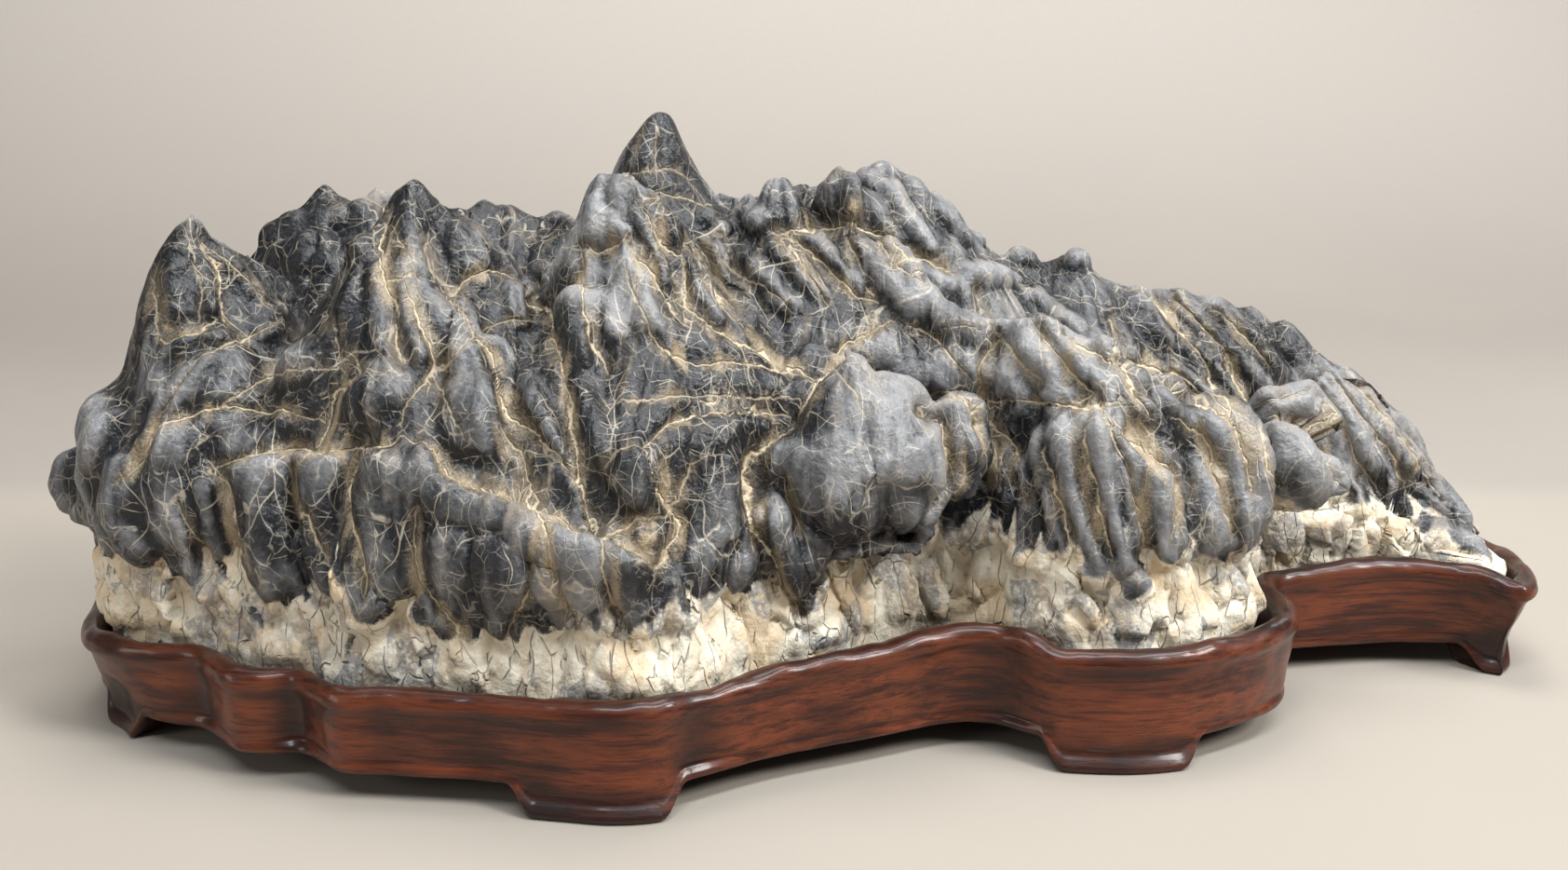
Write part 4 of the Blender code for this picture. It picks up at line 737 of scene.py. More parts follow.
# ------------------------------------------------------------------ the stone's main shape
@dataclass
class RockBody:
    """Signed field of the stone's main shape, negative inside, in millimetres.

    Args:
        rim_level: height at which the plan outline is given.
        wall_lean: how far the near flank leans in for each mm of height.
        back_lean: the same on the far side.
        eaves_level: height where the dark upper stone overhangs the pale base.
        eaves_depth: how far it overhangs.
        crease: radius left in the creases between ridges.
        root_fillet: hollow where a free lobe grows out of the body.
        shoulder: rounding where the tops turn over into the flanks.
        lobe_rise: height of a relief lobe of 1 mm radius; it grows as the square root.
        lobe_fall: how steeply a relief lobe's sides fall away.
        back_spurs: rounded spurs down the far side.
    """

    rim_level: float = 35.0
    wall_lean: float = 0.25
    back_lean: float = 0.26
    eaves_level: float = 58.0
    eaves_depth: float = 3.5
    crease: float = 0.7
    root_fillet: float = 8.0
    shoulder: float = 5.0
    lobe_rise: float = 1.6
    lobe_fall: float = 1.2
    back_spurs: int = 15
    plan: Array = field(init=False)
    ridge: Array = field(init=False)
    lobe: Array = field(init=False)
    relief_lobe: Array = field(init=False)

    def __post_init__(self) -> None:
        """Turn the tables into arrays and seat the relief lobes on the body."""
        self.plan = smooth_loop(STONE_PLAN, 3)
        rows = []
        for top, foot, flare, crest, points in RIDGES.values():
            rows.extend((*a, *b, top, foot, flare, crest) for a, b in zip(points, points[1:]))
        self.ridge = np.array(rows, np.float32)
        self.lobe = np.array(segments(FREE_LOBES.values()), np.float32)
        chains = self.spurs()
        for extra, points in WALL_LOBES.values():
            x, z, radius = np.array(points, float).T
            start = np.stack((x, np.full(len(x), -130.0), z), axis=1)
            chains.append(self.seated(start, (0, 1, 0), radius, extra))
        for points in CROWN_LOBES.values():
            x, y, radius = np.array(points, float).T
            start = np.stack((x, y, np.full(len(x), 190.0)), axis=1)
            chains.append(self.seated(start, (0, 0, -1), radius, 0))
        self.relief_lobe = np.array(segments(chains), np.float32)

    def seated(self, start: Array, heading: Sequence[float], radius: Array,
               extra: float) -> Array:
        """Push a lobe's places along a heading until they lie on the body.

        Args:
            start: (n, 3) places outside the body.
            heading: unit direction of the push.
            radius: the lobe's radius at each place.
            extra: height added to the lobe's own.

        Returns:
            Rows of x, y, z, radius and extra height.
        """
        place = np.array(start, float)
        heading = np.array(heading, float)
        for _ in range(60):
            place += heading * np.clip(self.bare(place) * WALK_PACE, 0, 20)[:, None]
        return np.column_stack((place, radius, np.full(len(place), float(extra))))

    def bare(self, points: Array) -> Array:
        """Field of the body alone, before it has its free lobes."""
        return self.body(self.warp(np.asarray(points, np.float32)))

    def spurs(self) -> list:
        """Rounded spurs down the far side, evenly spaced and swayed by sines."""
        chains = []
        for i in range(self.back_spurs):
            along = i / (self.back_spurs - 1)
            x = -205 + 405 * along + 5 * math.sin(2.4 * i)
            top = 110 - 20 * along - 42 * along**6 + 6 * math.sin(1.9 * i + 1)
            level = np.array((top, 0.6 * top + 16, 50))
            radius = np.array((9 + 2 * math.sin(3.1 * i), 8 + 2 * math.cos(2.3 * i), 4.5))
            across = x + np.array((0, 4 * math.sin(i), 6 * math.sin(1.3 * i + 1)))
            start = np.stack((across, np.full(3, 130.0), level), axis=1)
            chains.append(self.seated(start, (0, -1, 0), radius, 0))
        return chains

    def warp(self, p: Array) -> Array:
        """Bend the space by a few sines so that no ridge runs quite straight."""
        x, y, z = p[:, 0], p[:, 1], p[:, 2]
        dx = 1.3 * np.sin(y / 9.0 + z / 13.0) + 0.6 * np.sin(z / 5.1 - y / 6.3 + 1.7)
        dy = 1.2 * np.sin(x / 10.0 - z / 15.0 + 0.8) + 0.7 * np.sin(x / 5.3 + z / 8.7)
        dz = 1.0 * np.sin(x / 12.0 + y / 8.0 + 2.1) + 0.5 * np.sin(x / 6.1 - y / 5.7)
        free = np.clip((z - 40) / 22, 0, 1)
        return np.stack((x + dx * free, y + dy * free, z + dz * free), axis=1)

    def flank(self, p: Array) -> Array:
        """Distance outside the leaning flank that rises from the plan outline.

        It is the signed distance to the outline, plus the lean times the height above the
        rim, plus a tuck below the rim and chips in the base, less the step of the eaves.
        """
        a = self.plan
        b = np.roll(a, -1, 0)
        ab = b - a
        gap = from_lines(p[:, 0, None] - a[:, 0], p[:, 1, None] - a[:, 1], *ab.T)[0].min(1)
        rising = (a[None, :, 1] > p[:, 1, None]) != (b[None, :, 1] > p[:, 1, None])
        span = np.where(np.abs(ab[:, 1]) < 1e-6, 1e-6, ab[:, 1])
        cross = a[:, 0] + (p[:, 1, None] - a[:, 1]) * ab[:, 0] / span
        inside = (rising & (p[:, 0, None] < cross)).sum(1) % 2 == 1
        signed = np.where(inside, -gap, gap)
        back = 1 / (1 + np.exp(-(p[:, 1] - 30) / 8))
        x, z = p[:, 0], p[:, 2]
        lean = np.interp(x, *np.transpose(WEST_TO_EAST_LEAN)) * self.wall_lean
        lean = lean + (self.back_lean - self.wall_lean) * back
        eaves = self.eaves_level + 4 * np.sin(x / 17 + 1) + 3 * np.sin(x / 6.3)
        step = self.eaves_depth / (1 + np.exp(-(z - eaves) / 1.5))
        rise = np.maximum(z, self.rim_level - 3) - self.rim_level
        tuck = 0.6 * np.maximum(24 - z, 0) + 1.2 * np.clip((38 - z) / 5, 0, 1)
        notch = (1 - np.abs(np.sin(x / 6.1 + 0.9 * np.sin(z / 8) + p[:, 1] / 9)))**2
        chips = 2.2 * notch * np.clip((z - self.rim_level) / 6, 0, 1) * np.clip((66 - z) / 8, 0, 1)
        return (signed + lean * rise + tuck + chips - step) / np.hypot(1, lean)

    def ridges(self, p: Array) -> Array:
        """Height above the ridge tents: crest height less the flank's fall with distance.

        The fall is foot x d plus (top - foot) x flare x (1 - e to the minus d over flare),
        where the distance d to the crest line is rounded off at the crest by a hyperbola.
        """
        ax, ay, az, bx, by, bz, top, foot, flare, crest = self.ridge.T
        away, t = from_lines(p[:, 0, None] - ax, p[:, 1, None] - ay, bx - ax, by - ay)
        away = np.sqrt(away**2 + crest**2) - crest
        fall = foot * away + (top - foot) * flare * (1 - np.exp(-away / flare))
        height = az + t * (bz - az) - fall
        return (p[:, 2, None] - height) / np.hypot(1, top)

    def body(self, p: Array) -> Array:
        """Ridge tents cut by the flank, with the edge between them rounded over."""
        tent = soft_least(self.ridges(p), self.crease)
        wall = self.flank(p)
        blend = np.maximum(self.shoulder - np.abs(tent - wall), 0)
        return np.maximum(tent, wall) + blend**2 / (4 * self.shoulder)

    def free_lobes(self, p: Array) -> Array:
        """Distance to the nearest free lobe, a union of tapered, round-ended bars."""
        row = self.lobe.T
        away, t = from_bars(p, row[:3], row[4:7] - row[:3])
        return soft_least(away - (row[3] + t * (row[7] - row[3])), self.crease)

    def at(self, points: Array) -> Array:
        """Field at a block of points: the body and the free lobes, smoothly joined."""
        p = self.warp(points.astype(np.float32))
        body, lobe = self.body(p), self.free_lobes(p)
        near = np.maximum(self.root_fillet - np.abs(lobe - body), 0)
        return np.minimum(lobe, body) - near**2 / (4 * self.root_fillet)

    def outward(self, points: Array, span: float) -> Array:
        """Unit direction out of the stone: the field's slope, taken over a span."""
        slope = np.stack([in_blocks(self.at, points + step) - in_blocks(self.at, points - step)
                          for step in span * np.eye(3)], axis=1)
        return unit(slope)

    def relief(self, points: Array) -> Array:
        """Height of the relief lobes at a block of points on the skin.

        A lobe's height falls from its own rise as a hyperbola of the distance to its chain,
        so that the lobe is round on top and straight on its sides, and the highest counts.
        """
        row = self.relief_lobe.T
        away, t = from_bars(points.astype(np.float32), row[:3], row[5:8] - row[:3])
        radius = row[3] + t * (row[8] - row[3])
        rise = self.lobe_rise * np.sqrt(radius) + row[4]
        rise = rise - self.lobe_fall * (np.hypot(away, radius) - radius)
        return np.maximum(rise.max(1), 0) * np.clip((points[:, 2] - 36) / 12, 0, 1)


# ------------------------------------------------------------------ the stone's skin
@dataclass
class StoneSkin:
    """The stone's closed skin: arches over the range, with relief raised layer by layer.

    Args:
        body: the main shape.
        arches: sections along the range, each an arch from front foot to back foot.
        rows: rows from a foot to the top of the arch.
        coarse: how many times fewer arches and rows the first, rough pass has.
        triangles: what the skin is thinned to, most where it is flat.
        spine_west, spine_east: ends of the line that the arches' rays aim at, in plan.
        knee: share of the rows that is on the flank.
        knee_level, knee_east: height where level rays begin to turn upright.
        knee_inset: the turning rays pass this far inside the plan outline.
        reach: the rays start this far out.
        walk_steps: most steps of a ray's walk.
        met: a ray has met the stone when the field is closer to 0 than this.
    """

    body: RockBody
    arches: int = 600
    rows: int = 132
    coarse: int = 4
    triangles: int = 196000
    spine_west: tuple = (-165.0, 14.0)
    spine_east: tuple = (185.0, 34.0)
    knee: float = 16 / 58
    knee_level: float = 70.0
    knee_east: float = 27.0
    knee_inset: float = 28.0
    reach: float = 140.0
    walk_steps: int = 120
    met: float = 0.03

    def sides(self, along: Array, up: Array) -> tuple:
        """Place on the spine and place on the plan outline for each grid place."""
        plan = self.body.plan
        east, west = int(np.argmax(plan[:, 0])), int(np.argmin(plan[:, 0]))
        loop = np.roll(plan, -west, axis=0)
        split = (east - west) % len(plan)
        front = by_length(loop[:split + 1], 400)
        back = by_length(np.concatenate((loop[split:], loop[:1]))[::-1], 400)
        share = np.linspace(0, 1, 400)
        spine = np.outer(1 - along, self.spine_west) + np.outer(along, self.spine_east)
        near, far = read_at(along, share, front), read_at(along, share, back)
        return spine, np.where((up <= 0.5)[:, None], near, far)

    def rays(self, along: Array, up: Array) -> tuple:
        """Start and direction of the ray for each grid place.

        The rays are level on the flanks, turn upright by a smooth step while they pass the
        shoulder, and come straight down on the crown.

        Args:
            along: 0 at the west tip to 1 at the east tip.
            up: 0 at the front foot, 0.5 on top, 1 at the back foot.

        Returns:
            The rays' starts and directions.
        """
        spine, side = self.sides(along, up)
        outward = side - spine
        span = np.hypot(*outward.T)
        outward /= span[:, None]
        step = 1 - np.abs(2 * up - 1)
        top = np.interp(along, (0, 0.8, 1), (self.knee_level, self.knee_level, self.knee_east))
        level = STONE_BOTTOM + (top - STONE_BOTTOM) * np.clip(step / self.knee, 0, 1)
        crown = np.clip((step - self.knee) / (1 - self.knee), 0, 1)
        turn = 0.5 * math.pi * smoothstep(0, 0.3, crown)
        inset = np.minimum(self.knee_inset, 0.45 * span)
        pivot = spine + outward * ((span - inset) * (1 - crown))[:, None]
        direction = np.column_stack((-outward * np.cos(turn)[:, None], -np.sin(turn)))
        return np.column_stack((pivot, level)) - direction * self.reach, direction

    def strike(self, along: Array, up: Array, begun: Array) -> tuple:
        """Walk each ray by the field's distance until it meets the stone.

        Args:
            along, up: tables of grid places.
            begun: how far along each ray the walk begins.

        Returns:
            The table of points, and how far along its ray each lies.
        """
        start, direction = self.rays(along.ravel(), up.ravel())
        far = begun.ravel().copy()
        live = np.arange(len(start))
        for _ in range(self.walk_steps):
            here = start[live] + direction[live] * far[live, None]
            gap = in_blocks(self.body.at, here)
            far[live] += np.clip(gap * WALK_PACE, -4, 20)
            live = live[(np.abs(gap) > self.met) & (far[live] < self.reach)]
            if not len(live):
                break
        placed = (start + direction * far[:, None]).reshape(*along.shape, 3)
        return placed, far.reshape(along.shape)

    def even_rows(self, placed: Array, up: Array) -> Array:
        """Where along each rough arch evenly spaced rows would lie, smoothed between arches."""
        step = np.linalg.norm(np.diff(placed, axis=1), axis=2)
        step = np.minimum(step, 4 * np.median(step)) + 0.15 * step.mean()
        step = self.blurred(step, 6)
        half = step.shape[1] // 2
        moved = np.empty((len(step), 2 * self.rows + 1))
        for k, arch in enumerate(step):
            for part, old, new in ((arch[:half], slice(0, half + 1), slice(0, self.rows + 1)),
                                   (arch[half:], slice(half, None), slice(self.rows, None))):
                length = travelled(part)
                even = np.linspace(0, length[-1], self.rows + 1)
                moved[k, new] = np.interp(even, length, up[k, old])
        return moved

    def grid(self) -> Array:
        """Table of points on the main shape: a rough pass, then the full one beside it."""
        arches, rows = self.arches // self.coarse, self.rows // self.coarse
        along, up = np.meshgrid(np.linspace(0, 1, arches + 1), np.linspace(0, 1, 2 * rows + 1),
                                indexing="ij")
        placed, far = self.strike(along, up, np.zeros(along.shape))
        moved = self.even_rows(placed, up)
        fine = np.linspace(0, arches, self.arches + 1)
        low = np.minimum(fine.astype(int), arches - 1)
        share = (fine - low)[:, None]
        up = moved[low] * (1 - share) + moved[low + 1] * share
        along = np.broadcast_to((fine / arches)[:, None], up.shape).copy()
        row = np.clip(up * 2 * rows, 0, 2 * rows - 1e-6)
        rough = np.minimum(row.astype(int), 2 * rows - 1)
        part = row - rough
        begun = sum(weight * (far[low + k][np.arange(len(low))[:, None], rough] * (1 - part)
                              + far[low + k][np.arange(len(low))[:, None], rough + 1] * part)
                    for k, weight in ((0, 1 - share), (1, share)))
        return self.strike(along, up, np.maximum(begun - 10, 0))[0]

    @staticmethod
    def normals(skin: Array) -> Array:
        """Unit normals of a grid of points: the cross product of its two central steps."""
        across = np.gradient(skin, axis=0)
        rising = np.gradient(skin, axis=1)
        normal = unit(np.cross(across, rising))
        for end in (0, -1):
            normal[end] = unit(normal[end] + normal[end, ::-1])
        return normal

    @staticmethod
    def blurred(values: Array, times: int) -> Array:
        """Average each grid value with its neighbours, a number of times."""
        out = values.copy()
        for _ in range(times):
            out[1:-1] = (out[:-2] + 2 * out[1:-1] + out[2:]) / 4
            out[:, 1:-1] = (out[:, :-2] + 2 * out[:, 1:-1] + out[:, 2:]) / 4
        return out

    def hollows(self, skin: Array, times: int) -> Array:
        """How far each point lies below the blurred skin, in millimetres."""
        return ((self.blurred(skin, times) - skin) * self.normals(skin)).sum(axis=2)

    @staticmethod
    def downhill(skin: Array) -> Array:
        """Steepest way down at each grid point, in grid steps for each millimetre walked.

        The slope of the height over the skin is the inverse of the skin's own metric times
        the height's two steps; it is then scaled to a length of 1 mm on the skin.

        Args:
            skin: grid of points.

        Returns:
            Grid of (arch, row) steps.
        """
        across, rising = np.gradient(skin, axis=0), np.gradient(skin, axis=1)
        e, f, g = ((a * b).sum(axis=2) for a, b in ((across, across), (across, rising),
                                                    (rising, rising)))
        a = f * rising[..., 2] - g * across[..., 2]
        b = f * across[..., 2] - e * rising[..., 2]
        pace = np.sqrt(np.maximum(e * a * a + 2 * f * a * b + g * b * b, 1e-9))
        return np.stack((a, b), axis=2) / pace[..., None]

    @staticmethod
    def sampled(values: Array, place: Array) -> Array:
        """Values of a grid between its points: the mean of four, weighted by nearness."""
        top = np.array(values.shape[:2]) - 1
        place = np.clip(place, 0, top - 1e-6)
        low = place.astype(int)
        share = place - low
        flat = values.reshape(values.shape[0] * values.shape[1], -1)
        corner = low[..., 0] * values.shape[1] + low[..., 1]
        total = 0.0
        for i, j in np.ndindex(2, 2):
            weight = share[..., 0] if i else 1 - share[..., 0]
            weight = weight * (share[..., 1] if j else 1 - share[..., 1])
            total = total + flat[corner + i * values.shape[1] + j] * weight[..., None]
        return total.reshape(place.shape[:-1] + values.shape[2:])

    def drawn_down(self, values: Array, flow: Array, reach: int) -> Array:
        """Mean of a grid's values along the line of steepest fall, scaled to a spread of 1.

        Args:
            values: grid of numbers, usually noise.
            flow: what downhill gave.
            reach: how far the line runs up and down from each point, in millimetres.

        Returns:
            Grid of streaks that run down every slope.
        """
        rows, columns = values.shape
        start = np.stack(np.meshgrid(np.arange(rows), np.arange(columns), indexing="ij"), axis=2)
        total = values.copy()
        for way in (1, -1):
            place = start.astype(float)
            for _ in range(reach):
                place = place + way * self.sampled(flow, place)
                total += self.sampled(values, place)
        return (total - total.mean()) / total.std()


@dataclass
class StoneLook:
    """What varies over the stone: the relief layers and the masks of its finish.

    Args:
        eye: where the named creases are seen from; they are drawn on the plane y = 0.
        wide_size, wide_reach, wide_height: spacing, length and height of the eroded ribs.
        fine_size, fine_reach, fine_height: the same for the small ribs between them.
        lip_reach: how far a ledge's lobe spreads from its crease.
        far_off: distance at which a crease no longer counts.
        chip_size: size of the flat-faced chips of the raw base.
        chip_height: height of those chips.
        grain_height: height of the finest roughness.
        relief_from, chips_from, grain_from: levels between which each grows in above the
            stone's smooth foot.
        calm_from: levels between which the ribs fade towards the horn's tip.
        tone_spread: how much lightness varies by chance; painted_light_up, painted light that makes
        faces towards the sky lighter and faces turned down darker; painted_shade_broad and
        painted_shade_near, painted shade in wide and narrow hollows, with painted highlights on
        the bulges and ridges between.
        haze_up: brown haze on faces towards the sky; haze_broad, in wide hollows;
            haze_crease, beside the named creases.
    """

    eye: tuple = (-15.0, -470.0, 200.0)
    wide_size: float = 10.0
    wide_reach: int = 26
    wide_height: float = 1.5
    fine_size: float = 4.5
    fine_reach: int = 15
    fine_height: float = 0.9
    lip_reach: float = 24.0
    far_off: float = 8.0
    chip_size: tuple = (9.0, 9.0, 20.0)
    chip_height: float = 2.8
    grain_height: float = 0.15
    relief_from: tuple = (37.0, 50.0)
    chips_from: tuple = (30.0, 35.0)
    grain_from: tuple = (34.0, 38.0)
    calm_from: tuple = (158.0, 172.0)
    tone_spread: float = 0.30
    painted_light_up: float = 0.12
    painted_shade_broad: float = 0.12
    painted_shade_near: float = 0.26
    haze_up: float = 0.36
    haze_broad: float = 0.20
    haze_crease: float = 0.35

    @staticmethod
    def swayed(p: Array, amount: float, size: float, seed: int) -> Array:
        """Points moved by three smooth noises, so that patterns on them wander."""
        return p + amount * np.stack([noise(p, size, seed + k) for k in range(3)], axis=1)

    def pale(self, p: Array, hollow: Array) -> Array:
        """Share of the pale raw stone: below an uneven level, higher in the hollows."""
        level = np.interp(p[:, 0], *np.transpose(PALE_LEVEL))
        back = smoothstep(20, 45, p[:, 1])
        level = level * (1 - back) + back * (52 + 5 * np.sin(p[:, 0] / 19))
        ragged = 2.2 * noise(p * (1, 1, 0.35), 5.0, 11) + 1.2 * noise(p * (1, 1, 0.5), 2.2, 13)
        return smoothstep(-5.0, 4.0, level - p[:, 2] + ragged + 4.0 * np.clip(hollow, -1, 2))

    def creases(self, p: Array) -> Array:
        """What the named creases do at a block of points.

        Each point is seen from the eye on the plane y = 0, and a crease's depth falls off
        there as e to the minus the distance to its line over its width. The distance to
        the nearest crease is also kept with the side it lies on, so that the finish can
        draw a line thinner than the mesh where that distance changes sign.

        Returns:
            Columns of depth in mm, less the swelling of a ledge; distance to the nearest
            crease with its side, and without; its share of deposit; change of tone; the
            deposit of the patches; and their swelling in mm.
        """
        swayed = self.swayed(p, 0.9, 7.0, 51)
        share = (0 - self.eye[1]) / (swayed[:, 1] - self.eye[1])
        x = self.eye[0] + (swayed[:, 0] - self.eye[0]) * share
        z = self.eye[2] + (swayed[:, 2] - self.eye[2]) * share
        out = np.zeros((len(p), 7))
        out[:, 1:3] = self.far_off
        out[:, 4] = self.patches(x, z, TONES)
        out[:, 5] = self.patches(x, z, DEPOSITS)
        out[:, 6] = self.patches(x, z, SWELLS)
        swell = np.zeros(len(p))
        row = np.arange(len(p))
        for kind, (ax, az, dx, dz, before, after) in crease_lines():
            from_x, from_z = x[:, None] - ax, z[:, None] - az
            gap, t = from_lines(from_x, from_z, dx, dz)
            nearest = gap.argmin(1)
            away = gap[row, nearest]
            side = np.sign(from_x * dz - from_z * dx)[row, nearest]
            taper = (before + t * (after - before))[row, nearest]
            out[:, 0] = np.maximum(out[:, 0], kind.depth * np.exp(-away / kind.width))
            close = away < out[:, 2]
            seam = np.stack((side * away, away, kind.deposit * (0.4 + 0.6 * taper)), axis=1)
            out[close, 1:4] = seam[close]
            lip = kind.lip * (1 - np.exp(-away / 1.2)) * np.exp(-away / self.lip_reach)
            swell = np.maximum(swell, lip * taper * (side > 0))
        out[:, 0] -= swell
        return out

    @staticmethod
    def patches(x: Array, z: Array, table: dict) -> Array:
        """Sum of round soft patches: each its change times e to the minus its distance squared."""
        return sum(change * np.exp(-((x - px) / wide)**2 - ((z - pz) / high)**2)
                   for px, pz, wide, high, change in table.values())

    @staticmethod
    def ribs(streaks: Array) -> Array:
        """Height of rounded ribs between sharp grooves, which run where the streaks are 0.

        It is a quarter less e to the minus 1.6 times the size of the streak.
        """
        return 1 - np.exp(-1.6 * np.abs(streaks)) - 0.75

    def chips(self, p: Array) -> Array:
        """Flat-faced breaks: in each cell a plane of its own tilt, cut at the cell's edge."""
        cells = scatter_cells(self.swayed(p, 1.5, 9.0, 61), self.chip_size, 61)
        tilt = np.stack([np.sin(40 * cells.tone + k) for k in range(3)], axis=1)
        edge = smoothstep(0, 0.12, cells.next - cells.near)
        return (cells.tone - 0.5 + 0.9 * (cells.towards * tilt).sum(axis=1)) + 0.5 * edge


@dataclass
class Stone:
    """The stone: its skin with every layer of relief, as one closed mesh.

    Args:
        skin: grid over the main shape.
        look: relief layers and masks.
    """

    skin: StoneSkin
    look: StoneLook

    def streaks(self, points: Array, size: float, reach: int, seed: int) -> Array:
        """Noise of a size drawn down the slopes, with a spread of 1."""
        flow = self.skin.downhill(self.skin.blurred(points, 5))
        return self.skin.drawn_down(on_grid(noise, points, size, seed), flow, reach)

    def layered(self) -> tuple:
        """Skin points with relief, and the masks of the finish.

        Returns:
            The (arches, rows, 3) points and the (arches, rows, 8) masks.
        """
        body, look = self.skin.body, self.look
        points = self.skin.grid()
        shape = points.shape[:2]
        flat = points.reshape(-1, 3)
        outward = body.outward(flat, 2.5)
        flat = flat + outward * in_blocks(body.relief, flat)[:, None]
        points = flat.reshape(*shape, 3)
        first = self.skin.hollows(points, 24)
        pale = look.pale(flat, first.ravel()).reshape(shape)
        free = smoothstep(*look.relief_from, points[..., 2])
        wide = self.streaks(points, look.wide_size, look.wide_reach, 21)
        fine = self.streaks(points, look.fine_size, look.fine_reach, 31)
        drawn = in_blocks(look.creases, flat).reshape(*shape, 7)
        normal = self.skin.normals(self.skin.blurred(points, 2))
        sight = unit(np.array(look.eye) - points)
        faced = smoothstep(-0.05, 0.2, (normal * sight).sum(axis=2))
        drawn[..., (0, 3, 4, 5)] *= faced[..., None]
        patchy = 0.6 + 0.5 * on_grid(noise, points, 38.0, 23)
        crown = 1 - 0.7 * smoothstep(*look.calm_from, points[..., 2])
        raised = look.wide_height * patchy * look.ribs(wide)
        raised += look.fine_height * look.ribs(fine)
        raised *= free * crown * (1 - 0.75 * pale)
        raised += (drawn[..., 6] - drawn[..., 0]) * free
        chips = in_blocks(look.chips, flat).reshape(shape)
        raised += look.chip_height * chips * pale * smoothstep(*look.chips_from, points[..., 2])
        points = points + normal * raised[..., None]
        normal = self.skin.normals(points)
        grain = on_grid(fractal, points, 3.0, 3, 41)
        grain *= look.grain_height * smoothstep(*look.grain_from, points[..., 2])
        points = points + normal * grain[..., None]
        return points, self.masks(points, pale, drawn, wide, fine)

    def masks(self, points: Array, pale: Array, drawn: Array, wide: Array, fine: Array) -> Array:
        """What the finish reads at each point.

        Returns:
            Pale share, deposit in hollows, haze, tone with painted light on faces towards the sky
            and painted shade in hollows; then the distance to the nearest crease with its side and
            without, in millimetres, its share of deposit, and fine streaks.
        """
        look = self.look
        near = self.skin.hollows(points, 4)
        broad = self.skin.hollows(points, 40)
        groove = np.exp(-(np.abs(wide) / 0.12)**2) + 0.6 * np.exp(-(np.abs(fine) / 0.12)**2)
        deposit = 0.75 * drawn[..., 5] + 0.25 * groove * smoothstep(-0.1, 0.3, near)
        deposit += 0.18 * smoothstep(0.4, 1.2, near)
        up = self.skin.normals(self.skin.blurred(points, 6))[..., 2]
        haze = look.haze_up * smoothstep(0.25, 0.95, up)
        haze = haze + look.haze_broad * smoothstep(0, 3.0, broad)
        haze += drawn[..., 5] + look.haze_crease * drawn[..., 3] * np.exp(-drawn[..., 2] / 4.0)
        haze *= 0.7 + 0.6 * on_grid(fractal, points, 30.0, 3, 71)
        haze *= 1 + np.minimum(drawn[..., 4], 0)
        tone = 0.5 + look.tone_spread * on_grid(fractal, points, 24.0, 3, 81)
        # Painted light and shade: lighter on faces towards the sky and darker on faces turned down,
        # darker in wide and narrow hollows, lighter on bulges and ridges.
        tone = tone + look.painted_light_up * (up - 0.4)
        tone -= (look.painted_shade_broad * np.clip(broad, -1.5, 3)
                 + look.painted_shade_near * np.clip(near, -0.35, 1))
        tone += drawn[..., 4]
        streak = 0.5 + 0.2 * self.streaks(points, 2.2, 9, 33)
        skin = np.clip(np.stack((pale, deposit, haze, tone), axis=2), 0, 1)
        return np.concatenate((skin, drawn[..., 1:4], streak[..., None]), axis=2)

    def build(self) -> bpy.types.Object:
        """Stitch the grid's two ends and its foot into one closed mesh and thin it.

        Returns:
            The stone's object, in metres.
        """
        points, masks = self.layered()
        arches, rows = points.shape[:2]
        index = np.arange(arches * rows).reshape(arches, rows)
        half = rows // 2
        for end in (0, -1):
            index[end, half + 1:] = index[end, :half][::-1]
        corners = np.stack((index[:-1, :-1], index[1:, :-1], index[1:, 1:], index[:-1, 1:]),
                           axis=2)
        foot = np.concatenate((index[:, 0], index[-2:0:-1, -1]))
        used, fresh = np.unique(np.concatenate((corners.ravel(), foot)), return_inverse=True)
        faces = fresh[:corners.size].reshape(-1, 4).tolist()
        faces.append(fresh[corners.size:][::-1].tolist())
        place = (points.reshape(-1, 3)[used] - (*MIDDLE, 0)) * MM
        mesh = bpy.data.meshes.new("mountain_stone")
        mesh.from_pydata(place.tolist(), [], faces)
        masks = masks.reshape(-1, 8)[used].astype(np.float32)
        for name, part in (("skin", masks[:, :4]), ("seam", masks[:, 4:])):
            layer = mesh.attributes.new(name, "FLOAT_COLOR", "POINT")
            layer.data.foreach_set("color", part.ravel())
        close_and_point_out(mesh)
        mesh.shade_smooth()
        stone = put_in_scene("mountain_stone", mesh)
        thin = stone.modifiers.new("thin", "DECIMATE")
        thin.ratio = min(1.0, self.skin.triangles / triangle_count(mesh))
        return stone


def put_in_scene(name: str, data: bpy.types.ID) -> bpy.types.Object:
    """Object of a name that shows some data, linked to the scene."""
    made = bpy.data.objects.new(name, data)
    bpy.context.scene.collection.objects.link(made)
    return made


def triangle_count(mesh: bpy.types.Mesh) -> int:
    """Triangles that a mesh's faces make."""
    mesh.calc_loop_triangles()
    return len(mesh.loop_triangles)


def close_and_point_out(mesh: bpy.types.Mesh) -> None:
    """Triangulate a closed mesh and make its faces point out."""
    bm = bmesh.new()
    bm.from_mesh(mesh)
    bmesh.ops.triangulate(bm, faces=bm.faces)
    bmesh.ops.recalc_face_normals(bm, faces=bm.faces)
    bm.to_mesh(mesh)
    bm.free()


